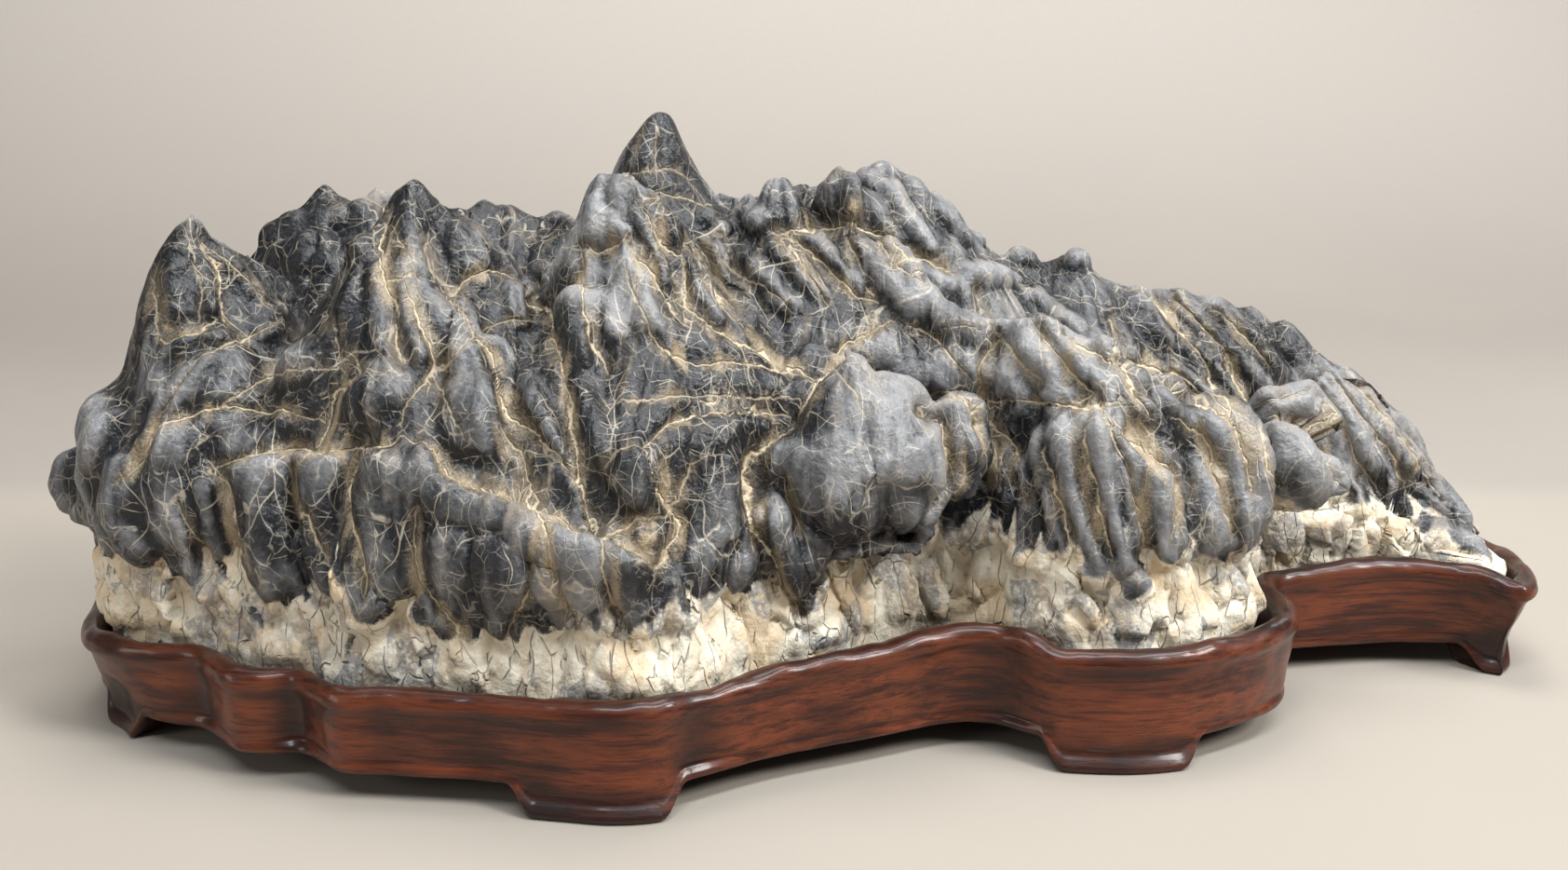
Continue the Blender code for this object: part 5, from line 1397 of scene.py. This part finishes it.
# ------------------------------------------------------------------ the stand
@dataclass
class Stand:
    """The carved stand: one section carried round its wavy outline, closed by two flats.

    Args:
        sections: places round the outline.
        steps: points to a span of the section.
        wall_bottom: height of the wall's and the underside's lower edge.
        foot_depth: how far a foot runs in under the wall.
        foot_flare: how far a foot's toe stands out.
        foot_shoulder: length of the slope at each end of a foot.
        tool_wave: height of the carver's slight unevenness on the wall.
        rim_wave: how far the rim rises and falls.
        lip_wave: how far its inner edge wanders in and out.
    """

    sections: int = 840
    steps: int = 4
    wall_bottom: float = 8.0
    foot_depth: float = 15.0
    foot_flare: float = 3.6
    foot_shoulder: float = 9.0
    tool_wave: float = 0.28
    rim_wave: float = 0.75
    lip_wave: float = 1.2

    def outline(self) -> tuple:
        """Places round the rim, and what is carved at each.

        Returns:
            Outline points with rim heights; outward directions, near and wide; the share
            of foot; how far the foot is set back; and the depth of flute.
        """
        curve = smooth_loop(STAND_RIM, 24)
        line = by_length(np.concatenate((curve, curve[:1])), self.sections + 1)[:-1]
        run = np.roll(line, -1, 0)[:, :2] - np.roll(line, 1, 0)[:, :2]
        outward = np.stack((run[:, 1], -run[:, 0]), axis=1)
        foot, inset, flute = np.zeros((3, len(line)))
        for x, y, half, set_back in FEET:
            gap = np.hypot(line[:, 0] - x, line[:, 1] - y)
            foot = np.maximum(foot, smoothstep(-0.5, 0.5, (half - gap) / self.foot_shoulder))
            inset = np.maximum(inset, set_back * np.exp(-(gap / (1.4 * half))**2))
        for x, y, half, depth in FLUTES:
            gap = np.hypot(line[:, 0] - x, line[:, 1] - y)
            flute = np.maximum(flute, depth * np.exp(-(gap / half)**2))
        return line, self.spread(outward, 4), self.spread(outward, 22), foot, inset, flute

    @staticmethod
    def spread(values: Array, span: int) -> Array:
        """Directions averaged over span neighbours on each side of a closed row."""
        total = sum(np.roll(values, k, 0) for k in range(-span, span + 1))
        return total / np.hypot(*total.T)[:, None]

    def section(self, rim: Array, foot: Array, inset: Array, flute: Array) -> Array:
        """The wall's section at every place: (out from the rim's edge, height, wide share).

        Named turns are joined by the cubic through them: from under the stand, round the
        toe, up the waisted wall, over the rounded rim and down into the seat.
        """
        base, heel, toe = self.wall_bottom, -self.foot_depth, self.foot_flare * foot
        low = base * (1 - foot)
        rise = base - low
        turns = (
            (heel - 4, base, 1.0), (heel - 0.5, low + 0.35 * rise, 1.0), (heel + 1, low, 1.0),
            (-5.5 + toe - inset, low, 0.3),
            (-3.6 + toe - inset, low + 0.1, 0.0),
            (-2.5 + toe - inset, low + 0.8, 0.0),
            (-2.2 + toe - inset, low + 2.0, 0.0),
            (-2.4 + 0.72 * toe - 0.97 * inset, low + 3.0 + 0.1 * rise, 0.0),
            (-2.6 + 0.30 * toe - 0.9 * inset, low + 4.0 + 0.3 * rise, 0.0),
            (-2.2 + 0.06 * toe - 0.7 * inset, base + 5.5 + 0.8 * foot, 0.0),
            (-1.7 - 0.4 * inset, 0.5 * (base + 5 + rim - 8), 0.0),
            (-1.1 - 0.15 * inset, rim - 8, 0.0), (0.0, rim - 5.0, 0.0),
            (-0.05, rim - 3.3, 0.0), (-0.8, rim - 1.6, 0.0), (-2.2, rim - 0.4, 0.0),
            (-3.9, rim, 0.0), (-5.6, rim - 0.6, 0.0), (-6.9, rim - 1.9, 0.0),
            (-7.4, rim - 4.0, 0.0), (-7.6, 0.5 * (rim - 4 + SEAT), 0.0), (-7.7, SEAT, 0.0),
        )
        out, height, wide = (np.stack([np.broadcast_to(turn[k], foot.shape) for turn in turns],
                                      axis=1) for k in range(3))
        cut = np.interp(np.arange(len(turns)), (5, 8, 13, 17), (0, 1, 0.6, 0))
        return self.eased(np.stack((out - flute[:, None] * cut, height, wide), axis=2))

    def eased(self, knots: Array) -> Array:
        """Smooth curve through each section's turns, with its ends held."""
        padded = np.concatenate((knots[:, :1], knots, knots[:, -1:]), axis=1)
        t = (np.arange(self.steps) / self.steps)[None, None, :, None]
        curve = cubic(*(padded[:, k:padded.shape[1] - 3 + k, None] for k in range(4)), t)
        return np.concatenate((curve.reshape(len(knots), -1, 3), knots[:, -1:]), axis=1)

    def carved(self, line: Array, profile: Array, heading: Array) -> Array:
        """Points of the stand, with the carver's unevenness on the wall and the rim.

        Args:
            line: outline points with rim heights.
            profile: what section gave.
            heading: unit outward direction of each point of each section.

        Returns:
            The (sections, points, 3) places in millimetres.
        """
        plan = line[:, None, :2] + heading * profile[..., :1]
        points = np.concatenate((plan, profile[..., 1:2]), axis=2)
        wall = smoothstep(2, 8, points[..., 2]) * smoothstep(-7.4, -5.5, profile[..., 0])
        uneven = on_grid(noise, points * (0.7, 0.7, 1.0), 9.0, 91)
        uneven += 0.5 * on_grid(noise, points, 4.0, 92)
        points[..., :2] += heading * (self.tool_wave * wall * uneven)[..., None]
        edge = self.rim_share(line, profile)
        flat = plan @ np.eye(2, 3)
        rise = on_grid(noise, flat, 12.0, 93) + 0.5 * on_grid(noise, flat, 5.0, 94)
        points[..., 2] += self.rim_wave * edge * rise
        lip = edge * smoothstep(-3.6, -6.0, profile[..., 0]) * on_grid(noise, flat, 8.0, 95)
        points[..., :2] += heading * (self.lip_wave * lip)[..., None]
        points[..., 2] = np.maximum(points[..., 2], 0)
        return points

    @staticmethod
    def rim_share(line: Array, profile: Array) -> Array:
        """Share of rim at each point: 1 near the top, 0 from 6.5 mm below it."""
        return smoothstep(6.5, 1.5, line[:, None, 2] - profile[..., 1])

    def patina_and_shade(self, points: Array, line: Array, profile: Array, foot: Array,
               flute: Array) -> Array:
        """Dark share of each point: patina on the rim, and painted shade in the flutes, inside the
        rim and low on the feet.
        """
        out = profile[..., 0]
        # Patina: the rim's dark band.
        top = 0.4 * smoothstep(8, 2, line[:, None, 2] - points[..., 2])
        top += 0.4 * smoothstep(-0.5, -2.5, out) * self.rim_share(line, profile)
        # Painted shade in the flutes and inside the rim, where it runs down into the seat.
        dark = np.clip(0.45 * flute[:, None] + smoothstep(-4.5, -7.0, out), 0, 1)
        dark = np.maximum(dark, top)
        # Painted shade low on the feet, near the floor.
        return np.maximum(dark, 0.8 * foot[:, None] * smoothstep(12, 6, points[..., 2]))

    def build(self) -> bpy.types.Object:
        """Place the section at every point of the outline and close the seat and underside.

        Returns:
            The stand's object, in metres.
        """
        line, near, wide, foot, inset, flute = self.outline()
        profile = self.section(line[:, 2], foot, inset, flute)
        heading = unit(near[:, None] + (wide - near)[:, None] * profile[..., 2:])
        points = self.carved(line, profile, heading)
        places, rings = points.shape[:2]
        index = np.arange(places * rings).reshape(places, rings)
        ahead = np.roll(index, -1, axis=0)
        corners = np.stack((index[:, :-1], ahead[:, :-1], ahead[:, 1:], index[:, 1:]), axis=2)
        faces = corners.reshape(-1, 4).tolist() + [index[::-1, 0].tolist(), index[:, -1].tolist()]
        mesh = bpy.data.meshes.new("carved_stand")
        mesh.from_pydata(((points.reshape(-1, 3) - (*MIDDLE, 0)) * MM).tolist(), [], faces)
        dark = self.patina_and_shade(points, line, profile, foot, flute)
        layer = mesh.attributes.new("patina_and_shade", "FLOAT", "POINT")
        layer.data.foreach_set("value", dark.astype(np.float32).ravel())
        close_and_point_out(mesh)
        mesh.shade_smooth()
        return put_in_scene("carved_stand", mesh)


# ------------------------------------------------------------------ finishes
Number = Union[float, "Value"]
Colour = Union[tuple, Socket]


class Value:
    """A shader socket that can be used in arithmetic; each operation adds a Math node."""

    def __init__(self, graph: "Graph", socket: Socket) -> None:
        """Wrap a socket of a graph."""
        self.graph = graph
        self.socket = socket

    def math(self, operation: str, *others: Number) -> "Value":
        """This value and others put through one Math node."""
        inputs = {k: each for k, each in enumerate((self, *others))}
        node = self.graph.node("ShaderNodeMath", {"operation": operation}, inputs)
        return Value(self.graph, node.outputs[0])

    def __add__(self, other: Number) -> "Value":
        """Sum."""
        return self.math("ADD", other)

    def __radd__(self, other: Number) -> "Value":
        """Sum, from the right."""
        return self.math("ADD", other)

    def __sub__(self, other: Number) -> "Value":
        """Difference."""
        return self.math("SUBTRACT", other)

    def __mul__(self, other: Number) -> "Value":
        """Product."""
        return self.math("MULTIPLY", other)

    def __rmul__(self, other: Number) -> "Value":
        """Product, from the right."""
        return self.math("MULTIPLY", other)

    def most(self, other: Number) -> "Value":
        """Larger of the two."""
        return self.math("MAXIMUM", other)

    def step(self, low: float, high: float) -> "Value":
        """Ease from 0 at low to 1 at high; falls instead if low is above high."""
        turned = low > high
        node = self.graph.node("ShaderNodeMapRange", {"interpolation_type": "SMOOTHSTEP"},
                               {0: self, 1: min(low, high), 2: max(low, high),
                                3: 1.0 if turned else 0.0, 4: 0.0 if turned else 1.0})
        return Value(self.graph, node.outputs[0])


class Graph:
    """Node tree of one material, with short ways to add nodes to it."""

    def __init__(self, name: str) -> None:
        """Make a material with an empty Principled shader."""
        self.material = bpy.data.materials.new(name)
        self.material.use_nodes = True
        self.tree = self.material.node_tree
        self.shader = self.tree.nodes["Principled BSDF"]

    def node(self, kind: str, settings: dict, inputs: dict) -> bpy.types.Node:
        """Add a node.

        Args:
            kind: the node's type.
            settings: its own properties, set first.
            inputs: values or links of its sockets, by name or number.

        Returns:
            The node.
        """
        node = self.tree.nodes.new(kind)
        for key, each in settings.items():
            setattr(node, key, each)
        for key, each in inputs.items():
            self.feed(node.inputs[key], each)
        return node

    def feed(self, socket: Socket, each: Union[Number, Colour]) -> None:
        """Link a value or a socket to an input, or set the input to a constant."""
        if isinstance(each, Value):
            self.tree.links.new(each.socket, socket)
        elif isinstance(each, Socket):
            self.tree.links.new(each, socket)
        elif isinstance(each, tuple) and len(each) == 3 and socket.type == "RGBA":
            socket.default_value = (*each, 1.0)
        else:
            socket.default_value = each

    def dressed(self, inputs: dict) -> bpy.types.Material:
        """The material, with values or links fed to its shader's inputs by name."""
        for key, each in inputs.items():
            self.feed(self.shader.inputs[key], each)
        return self.material

    def place(self, size: Sequence[float]) -> Socket:
        """Object coordinates in units of a size in millimetres along each axis."""
        where = self.node("ShaderNodeTexCoord", {}, {})
        return self.scaled(where.outputs["Object"], [1000.0 / each for each in size])

    def swayed(self, place: Socket, scale: float, amount: float) -> Socket:
        """Coordinates moved by smooth noise of a scale, so that patterns wander."""
        sway = self.node("ShaderNodeTexNoise", {}, {"Vector": place, "Scale": scale,
                                                    "Detail": 1.0})
        centred = self.node("ShaderNodeVectorMath", {"operation": "SUBTRACT"},
                            {0: sway.outputs["Color"], 1: (0.5, 0.5, 0.5)})
        return self.node("ShaderNodeVectorMath", {"operation": "MULTIPLY_ADD"},
                         {0: centred.outputs[0], 1: (amount,) * 3, 2: place}).outputs[0]

    def noise(self, place: Socket, scale: float, detail: float = 4.0,
              roughness: float = 0.55) -> Value:
        """Noise 0..1 at coordinates."""
        node = self.node("ShaderNodeTexNoise", {}, {"Vector": place, "Scale": scale,
                                                    "Detail": detail, "Roughness": roughness})
        return Value(self, node.outputs["Fac"])

    def edges(self, place: Socket, scale: float) -> Value:
        """Distance to the nearest edge between scattered cells."""
        node = self.node("ShaderNodeTexVoronoi", {"feature": "DISTANCE_TO_EDGE"},
                         {"Vector": place, "Scale": scale})
        return Value(self, node.outputs["Distance"])

    def cell_tone(self, place: Socket, scale: float) -> Value:
        """A random number 0..1 for each scattered cell."""
        node = self.node("ShaderNodeTexVoronoi", {"feature": "F1"},
                         {"Vector": place, "Scale": scale})
        split = self.node("ShaderNodeSeparateColor", {}, {0: node.outputs["Color"]})
        return Value(self, split.outputs[0])

    def four(self, name: str) -> tuple:
        """The four numbers of a mesh attribute."""
        read = self.node("ShaderNodeAttribute", {"attribute_name": name}, {})
        split = self.node("ShaderNodeSeparateColor", {}, {0: read.outputs["Color"]})
        return tuple(Value(self, each) for each in (*split.outputs, read.outputs["Alpha"]))

    def mix(self, share: Number, first: Colour, second: Colour) -> Socket:
        """First colour with a share of the second mixed in."""
        node = self.node("ShaderNodeMix", {"data_type": "RGBA"},
                         {0: share, 6: first, 7: second})
        return node.outputs[2]

    def bump(self, height: Value, distance: float, strength: float) -> Socket:
        """Normal of a surface raised by a height times a distance in metres."""
        inputs = {"Height": height, "Distance": distance, "Strength": strength}
        return self.node("ShaderNodeBump", {}, inputs).outputs[0]

    def scaled(self, place: Socket, scale: Sequence[float]) -> Socket:
        """Coordinates multiplied by a number along each axis."""
        return self.node("ShaderNodeVectorMath", {"operation": "MULTIPLY"},
                         {0: place, 1: tuple(scale)}).outputs[0]


# Layers of veins: size of the cells whose edges they follow, in mm; width of the line as a
# share of a cell; and strength.
VEIN_LAYERS = (
    ((26.0, 22.0, 66.0), 0.008, 0.85),
    ((46.0, 16.0, 13.0), 0.012, 0.70),
    ((9.0, 9.0, 21.0), 0.019, 0.75),
    ((4.6, 4.6, 5.5), 0.034, 0.45),
)


@dataclass(frozen=True)
class StoneFinish:
    """Dark polished limestone with pale veins and creases over a raw cream base."""

    slate: tuple = (0.008, 0.0092, 0.012)
    slate_light: tuple = (0.255, 0.256, 0.262)
    umber: tuple = (0.240, 0.185, 0.125)
    vein: tuple = (0.56, 0.49, 0.38)
    tan: tuple = (0.62, 0.48, 0.30)
    seam: tuple = (0.74, 0.61, 0.42)
    cream: tuple = (0.80, 0.735, 0.60)
    cream_dark: tuple = (0.68, 0.50, 0.29)
    ash: tuple = (0.24, 0.255, 0.285)
    crack: tuple = (0.09, 0.06, 0.035)

    def veins(self, graph: Graph, swayed: Socket, breaks: Sequence[Value]) -> Value:
        """Thin light lines on the edges of long scattered cells, the finer ones fainter.

        Args:
            graph: the material's graph.
            swayed: coordinates in millimetres, moved by smooth noise.
            breaks: for each layer a noise that interrupts its lines.

        Returns:
            Strength of the lines, 0..1.
        """
        total = None
        for (size, width, weight), broken in zip(VEIN_LAYERS, breaks):
            cells = graph.scaled(swayed, [1.0 / each for each in size])
            layer = graph.edges(cells, 1.0).step(width, width * 0.2)
            layer = layer * broken.step(0.42, 0.60) * weight
            total = layer if total is None else total.most(layer)
        return total

    def make(self) -> bpy.types.Material:
        """The material."""
        graph = Graph("polished_limestone")
        place = graph.place((1.0, 1.0, 1.0))
        pale, deposit, haze, tone = graph.four("skin")
        side, away, share, streak = graph.four("seam")
        swayed = graph.swayed(place, 0.055, 9.0)
        cloud = graph.noise(place, 0.07, 4.0)
        ripple = graph.noise(place, 0.20, 2.0)
        speck = graph.noise(place, 0.55, 4.0, 0.65)
        fine = graph.noise(place, 1.6, 2.0, 0.7)
        veins = self.veins(graph, swayed, (cloud, ripple, cloud, ripple))
        wander = side + (ripple - 0.5) * 3.0 + (speck - 0.5) * 1.2
        core = wander.math("ABSOLUTE").step(0.62, 0.05) * away.step(2.6, 1.2) * share
        beard = (away + (streak - 0.5) * 9.0 + (fine - 0.5) * 8.0).step(3.2, -2.0) * share

        # The polished dark face: slate, then haze, deposit, veins and the creases' thin line.
        # The slate grows lighter with the tone from the mesh, which holds painted light on faces
        # towards the sky and painted shade in hollows, and with chance clouds and streaks.
        tone_with_painted_light = tone * 0.75 + cloud * 0.35 + streak * 0.30 + (speck - 0.5) * 0.25
        dark = graph.mix(tone_with_painted_light.step(0.62, 1.20), self.slate, self.slate_light)
        dusty = (haze + (speck - 0.5) * 1.0 + (streak - 0.5) * 1.2).step(0.25, 1.05)
        dark = graph.mix(dusty * 0.52, dark, self.umber)
        line = (deposit + (fine - 0.5) * 0.5 + (speck - 0.5) * 0.7).step(0.35, 1.0)
        dark = graph.mix(line.most(beard * 0.6) * 0.9, dark, self.tan)
        dark = graph.mix(veins * 0.75, dark, self.vein)
        dark = graph.mix(core, dark, self.seam)

        # The raw base: cream clouds, grey patches, cracks between upright slabs, and stains.
        patch = graph.cell_tone(swayed, 0.09)
        light = graph.mix(cloud.step(0.44, 0.66) * 0.7, self.cream, self.cream_dark)
        light = graph.mix(patch.step(0.60, 0.74) * speck.step(0.35, 0.55) * 0.75, light,
                          self.ash)
        slabs = graph.scaled(swayed, (0.125, 0.125, 0.033))
        split = graph.edges(slabs, 1.0).step(0.024, 0.0) * ripple.step(0.40, 0.58)
        light = graph.mix((deposit.step(0.35, 1.0) * 0.35).most(split * 0.42), light, self.crack)
        light = graph.mix((streak + speck).step(0.95, 1.35) * 0.35, light, self.cream_dark)

        ragged = pale * 1.5 + (streak - 0.5) * 1.6 + (fine - 0.5) * 0.7
        turned = ragged.step(0.42, 0.98) * pale.step(0.0, 0.12)
        face = graph.mix(turned, dark, light)
        rough = 0.22 + 0.16 * speck + 0.30 * turned + 0.2 * line + 0.35 * dusty
        relief = (ripple * 1.3 + speck * 0.5 + fine * 0.2 + streak * 0.6 - core * 0.9
                  - split * pale)
        return graph.dressed({"Base Color": face, "Roughness": rough,
                              "Normal": graph.bump(relief, 0.0010, 0.9),
                              "Specular IOR Level": 0.45})


@dataclass(frozen=True)
class RosewoodFinish:
    """Dark waxed rosewood: long streaks, short pores, blacker in random blotches and by the stand's
    dark share: patina on the rim, and painted shade in the flutes, inside the rim and low on the
    feet.
    """

    heart: tuple = (0.036, 0.0070, 0.0030)
    glow: tuple = (0.255, 0.058, 0.018)
    streak: tuple = (0.009, 0.003, 0.0022)
    patina_and_shade: tuple = (0.008, 0.004, 0.0035)

    def make(self) -> bpy.types.Material:
        """The material."""
        graph = Graph("waxed_rosewood")
        block = graph.swayed(graph.place((70.0, 14.0, 9.0)), 0.8, 0.35)
        long = graph.noise(block, 1.0, 6.0, 0.62)
        fine = graph.noise(graph.swayed(graph.place((38.0, 5.0, 1.7)), 0.5, 0.5), 1.0, 5.0, 0.65)
        pore = graph.noise(graph.place((5.0, 0.6, 0.38)), 1.0, 2.0, 0.5)
        blotch = graph.noise(graph.place((34.0, 34.0, 26.0)), 1.0, 3.0)
        patina_and_shade = graph.node("ShaderNodeAttribute", {"attribute_name": "patina_and_shade"}, {})
        patina_and_shade_share = Value(graph, patina_and_shade.outputs["Fac"])

        wood = graph.mix((long * 0.5 + fine * 0.5).step(0.40, 0.64), self.heart, self.glow)
        wood = graph.mix(long.step(0.56, 0.70) * 0.75, wood, self.streak)
        wood = graph.mix(fine.step(0.51, 0.68) * 0.65, wood, self.streak)
        wood = graph.mix(pore.step(0.62, 0.74) * 0.5, wood, self.streak)
        # Dark share: patina on the rim, painted shade in the flutes, inside the rim and low on the
        # feet, and random blotches.
        dark = (patina_and_shade_share + blotch.step(0.52, 0.74) * 0.6).math("MINIMUM", 1.0)
        wood = graph.mix(dark * 0.85, wood, self.patina_and_shade)
        rough = 0.30 + 0.22 * fine
        relief = fine * 0.5 - pore.step(0.62, 0.74) * 0.6
        return graph.dressed({"Base Color": wood, "Roughness": rough,
                              "Normal": graph.bump(relief, 0.0003, 0.7),
                              "Specular IOR Level": 0.25, "Coat Weight": 0.30,
                              "Coat Roughness": 0.14})


@dataclass(frozen=True)
class PaperFinish:
    """Warm plain backdrop paper: a shade deeper behind the stone, then lighter up the wall; both
    steps are painted shade and painted light, for the line where the floor meets a wall and for the
    light falling off towards the far wall.
    """

    near: tuple = (0.350, 0.314, 0.270)
    mid: tuple = (0.312, 0.282, 0.252)
    far: tuple = (0.63, 0.587, 0.538)
    fleck: tuple = (0.40, 0.33, 0.26)
    cloud: tuple = (0.5, 0.45, 0.38)

    def make(self) -> bpy.types.Material:
        """The material."""
        graph = Graph("backdrop_paper")
        where = graph.node("ShaderNodeTexCoord", {}, {})
        split = graph.node("ShaderNodeSeparateXYZ", {}, {0: where.outputs["Object"]})
        depth = Value(graph, split.outputs[1])
        mottle = graph.noise(graph.place((5.0, 5.0, 5.0)), 1.0, 5.0)
        wide = graph.noise(graph.place((260.0, 260.0, 260.0)), 1.0, 3.0)
        # Painted shade from 0.2 m behind the stone, and painted light from 0.6 m on up the wall.
        paper = graph.mix(depth.step(0.20, 0.24), self.near, self.mid)
        paper = graph.mix(depth.step(0.6, 1.7), paper, self.far)
        paper = graph.mix(mottle.step(0.3, 0.8) * 0.10, paper, self.fleck)
        paper = graph.mix(wide.step(0.3, 0.8) * 0.12, paper, self.cloud)
        return graph.dressed({"Base Color": paper, "Roughness": 0.9})


# ------------------------------------------------------------------ studio
@dataclass(frozen=True)
class Lamp:
    """A soft rectangular light.

    Args:
        name: the light's name.
        place, aim: where it is and what it faces, in metres.
        size: its two sides in metres.
        power: its power in watts.
        colour: its colour.
    """

    name: str
    place: tuple
    aim: tuple
    size: tuple
    power: float
    colour: tuple

    def hang(self) -> None:
        """Put the light in the scene, turned from its own -Z towards its aim."""
        lamp = bpy.data.lights.new(self.name, "AREA")
        lamp.shape, lamp.energy, lamp.color = "RECTANGLE", self.power, self.colour
        lamp.size, lamp.size_y = self.size
        lit = put_in_scene(self.name, lamp)
        lit.location = self.place
        east, north, up = np.array(self.aim, float) - np.array(self.place, float)
        lit.rotation_euler = (math.atan2(math.hypot(east, north), -up), 0.0,
                              math.atan2(north, east) - math.pi / 2)


WHITE, COOL, WARM = (1.0, 0.99, 0.97), (0.90, 0.95, 1.0), (1.0, 0.97, 0.93)
ROCK = (0.0, 0.0, 0.07)     # the middle of the stone, which most lights face

# A soft key from the upper right, a long strip above the front, weak fills, and the wall's own.
LAMPS = (
    Lamp("key", (1.45, -0.80, 1.45), ROCK, (0.6, 0.6), 41.0, WHITE),
    Lamp("strip", (0.20, -0.40, 1.0), ROCK, (1.4, 0.16), 13.0, COOL),
    Lamp("overhead", (0.0, 0.25, 1.5), ROCK, (0.6, 0.6), 8.0, WHITE),
    Lamp("rim", (1.1, 0.7, 0.8), ROCK, (0.4, 0.4), 2.0, COOL),
    Lamp("left_fill", (-1.5, -0.9, 0.6), ROCK, (0.6, 0.6), 5.0, WARM),
    Lamp("wall_light", (-0.25, 0.6, 2.0), (-0.25, 1.6, 0.8), (1.6, 1.6), 20.0, WHITE),
)


@dataclass
class Studio:
    """Camera, soft lights and a plain paper sweep.

    Args:
        eye: the camera's place, in metres.
        pitch: how far the camera looks down, in degrees.
        focal: the lens's focal length, as a number of picture widths.
        surround: strength and colour of the light from all round.
        front, wall: how far the paper runs to the front and to the back, in metres.
        bend: radius of its quarter circle.
        height, half_width: the paper's height and half its width.
    """

    eye: tuple = (-0.01285, -0.4713, 0.200)
    pitch: float = 14.0
    focal: float = 1600 / 1684
    surround: tuple = (0.11, (1.0, 0.98, 0.95))
    front: float = -2.2
    wall: float = 1.7
    bend: float = 1.1
    height: float = 2.4
    half_width: float = 2.6

    def camera(self) -> None:
        """Camera low in front of the stone, looking a little down."""
        lens = bpy.data.cameras.new("camera")
        lens.sensor_width = 36.0
        lens.lens = lens.sensor_width * self.focal
        lens.clip_start = 0.01
        camera = put_in_scene("camera", lens)
        camera.location = self.eye
        camera.rotation_euler = (math.radians(90 - self.pitch), 0.0, 0.0)
        bpy.context.scene.camera = camera

    def lights(self) -> None:
        """The lamps and the weak light from all round."""
        for lamp in LAMPS:
            lamp.hang()
        world = bpy.data.worlds.new("surround")
        world.use_nodes = True
        inputs = world.node_tree.nodes["Background"].inputs
        strength, colour = self.surround
        inputs["Color"].default_value = (*colour, 1.0)
        inputs["Strength"].default_value = strength
        bpy.context.scene.world = world
        bpy.context.scene.view_settings.view_transform = "Standard"

    def backdrop(self) -> None:
        """Paper sweep: flat floor, a quarter circle, and an upright wall far behind."""
        turn = np.linspace(0, math.pi / 2, 48)
        curve = self.wall - self.bend + self.bend * np.sin(turn)
        depth = np.concatenate(((self.front,), curve, (self.wall,)))
        height = np.concatenate(((0.0,), self.bend - self.bend * np.cos(turn), (self.height,)))
        points = np.stack([np.stack((np.full(len(depth), x), depth, height), axis=1)
                           for x in (-self.half_width, self.half_width)])
        count = len(depth)
        faces = [(k, k + count, k + count + 1, k + 1) for k in range(count - 1)]
        mesh = bpy.data.meshes.new("backdrop")
        mesh.from_pydata(points.reshape(-1, 3).tolist(), [], faces)
        mesh.shade_smooth()
        mesh.materials.append(PaperFinish().make())
        put_in_scene("backdrop", mesh)


def main() -> None:
    """Build the studio, the stone and the stand in order, and report each piece."""
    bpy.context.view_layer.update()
    studio = Studio()
    studio.camera()
    studio.lights()
    studio.backdrop()

    stone = Stone(StoneSkin(RockBody()), StoneLook()).build()
    stone.data.materials.append(StoneFinish().make())
    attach(stone, "root")
    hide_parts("stone")
    LOG.info("%s: %d triangles before thinning", stone.name, triangle_count(stone.data))

    stand = Stand().build()
    stand.data.materials.append(RosewoodFinish().make())
    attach(stand, "root")
    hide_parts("stand")
    LOG.info("%s: %d triangles", stand.name, triangle_count(stand.data))


if __name__ == "__main__":
    main()
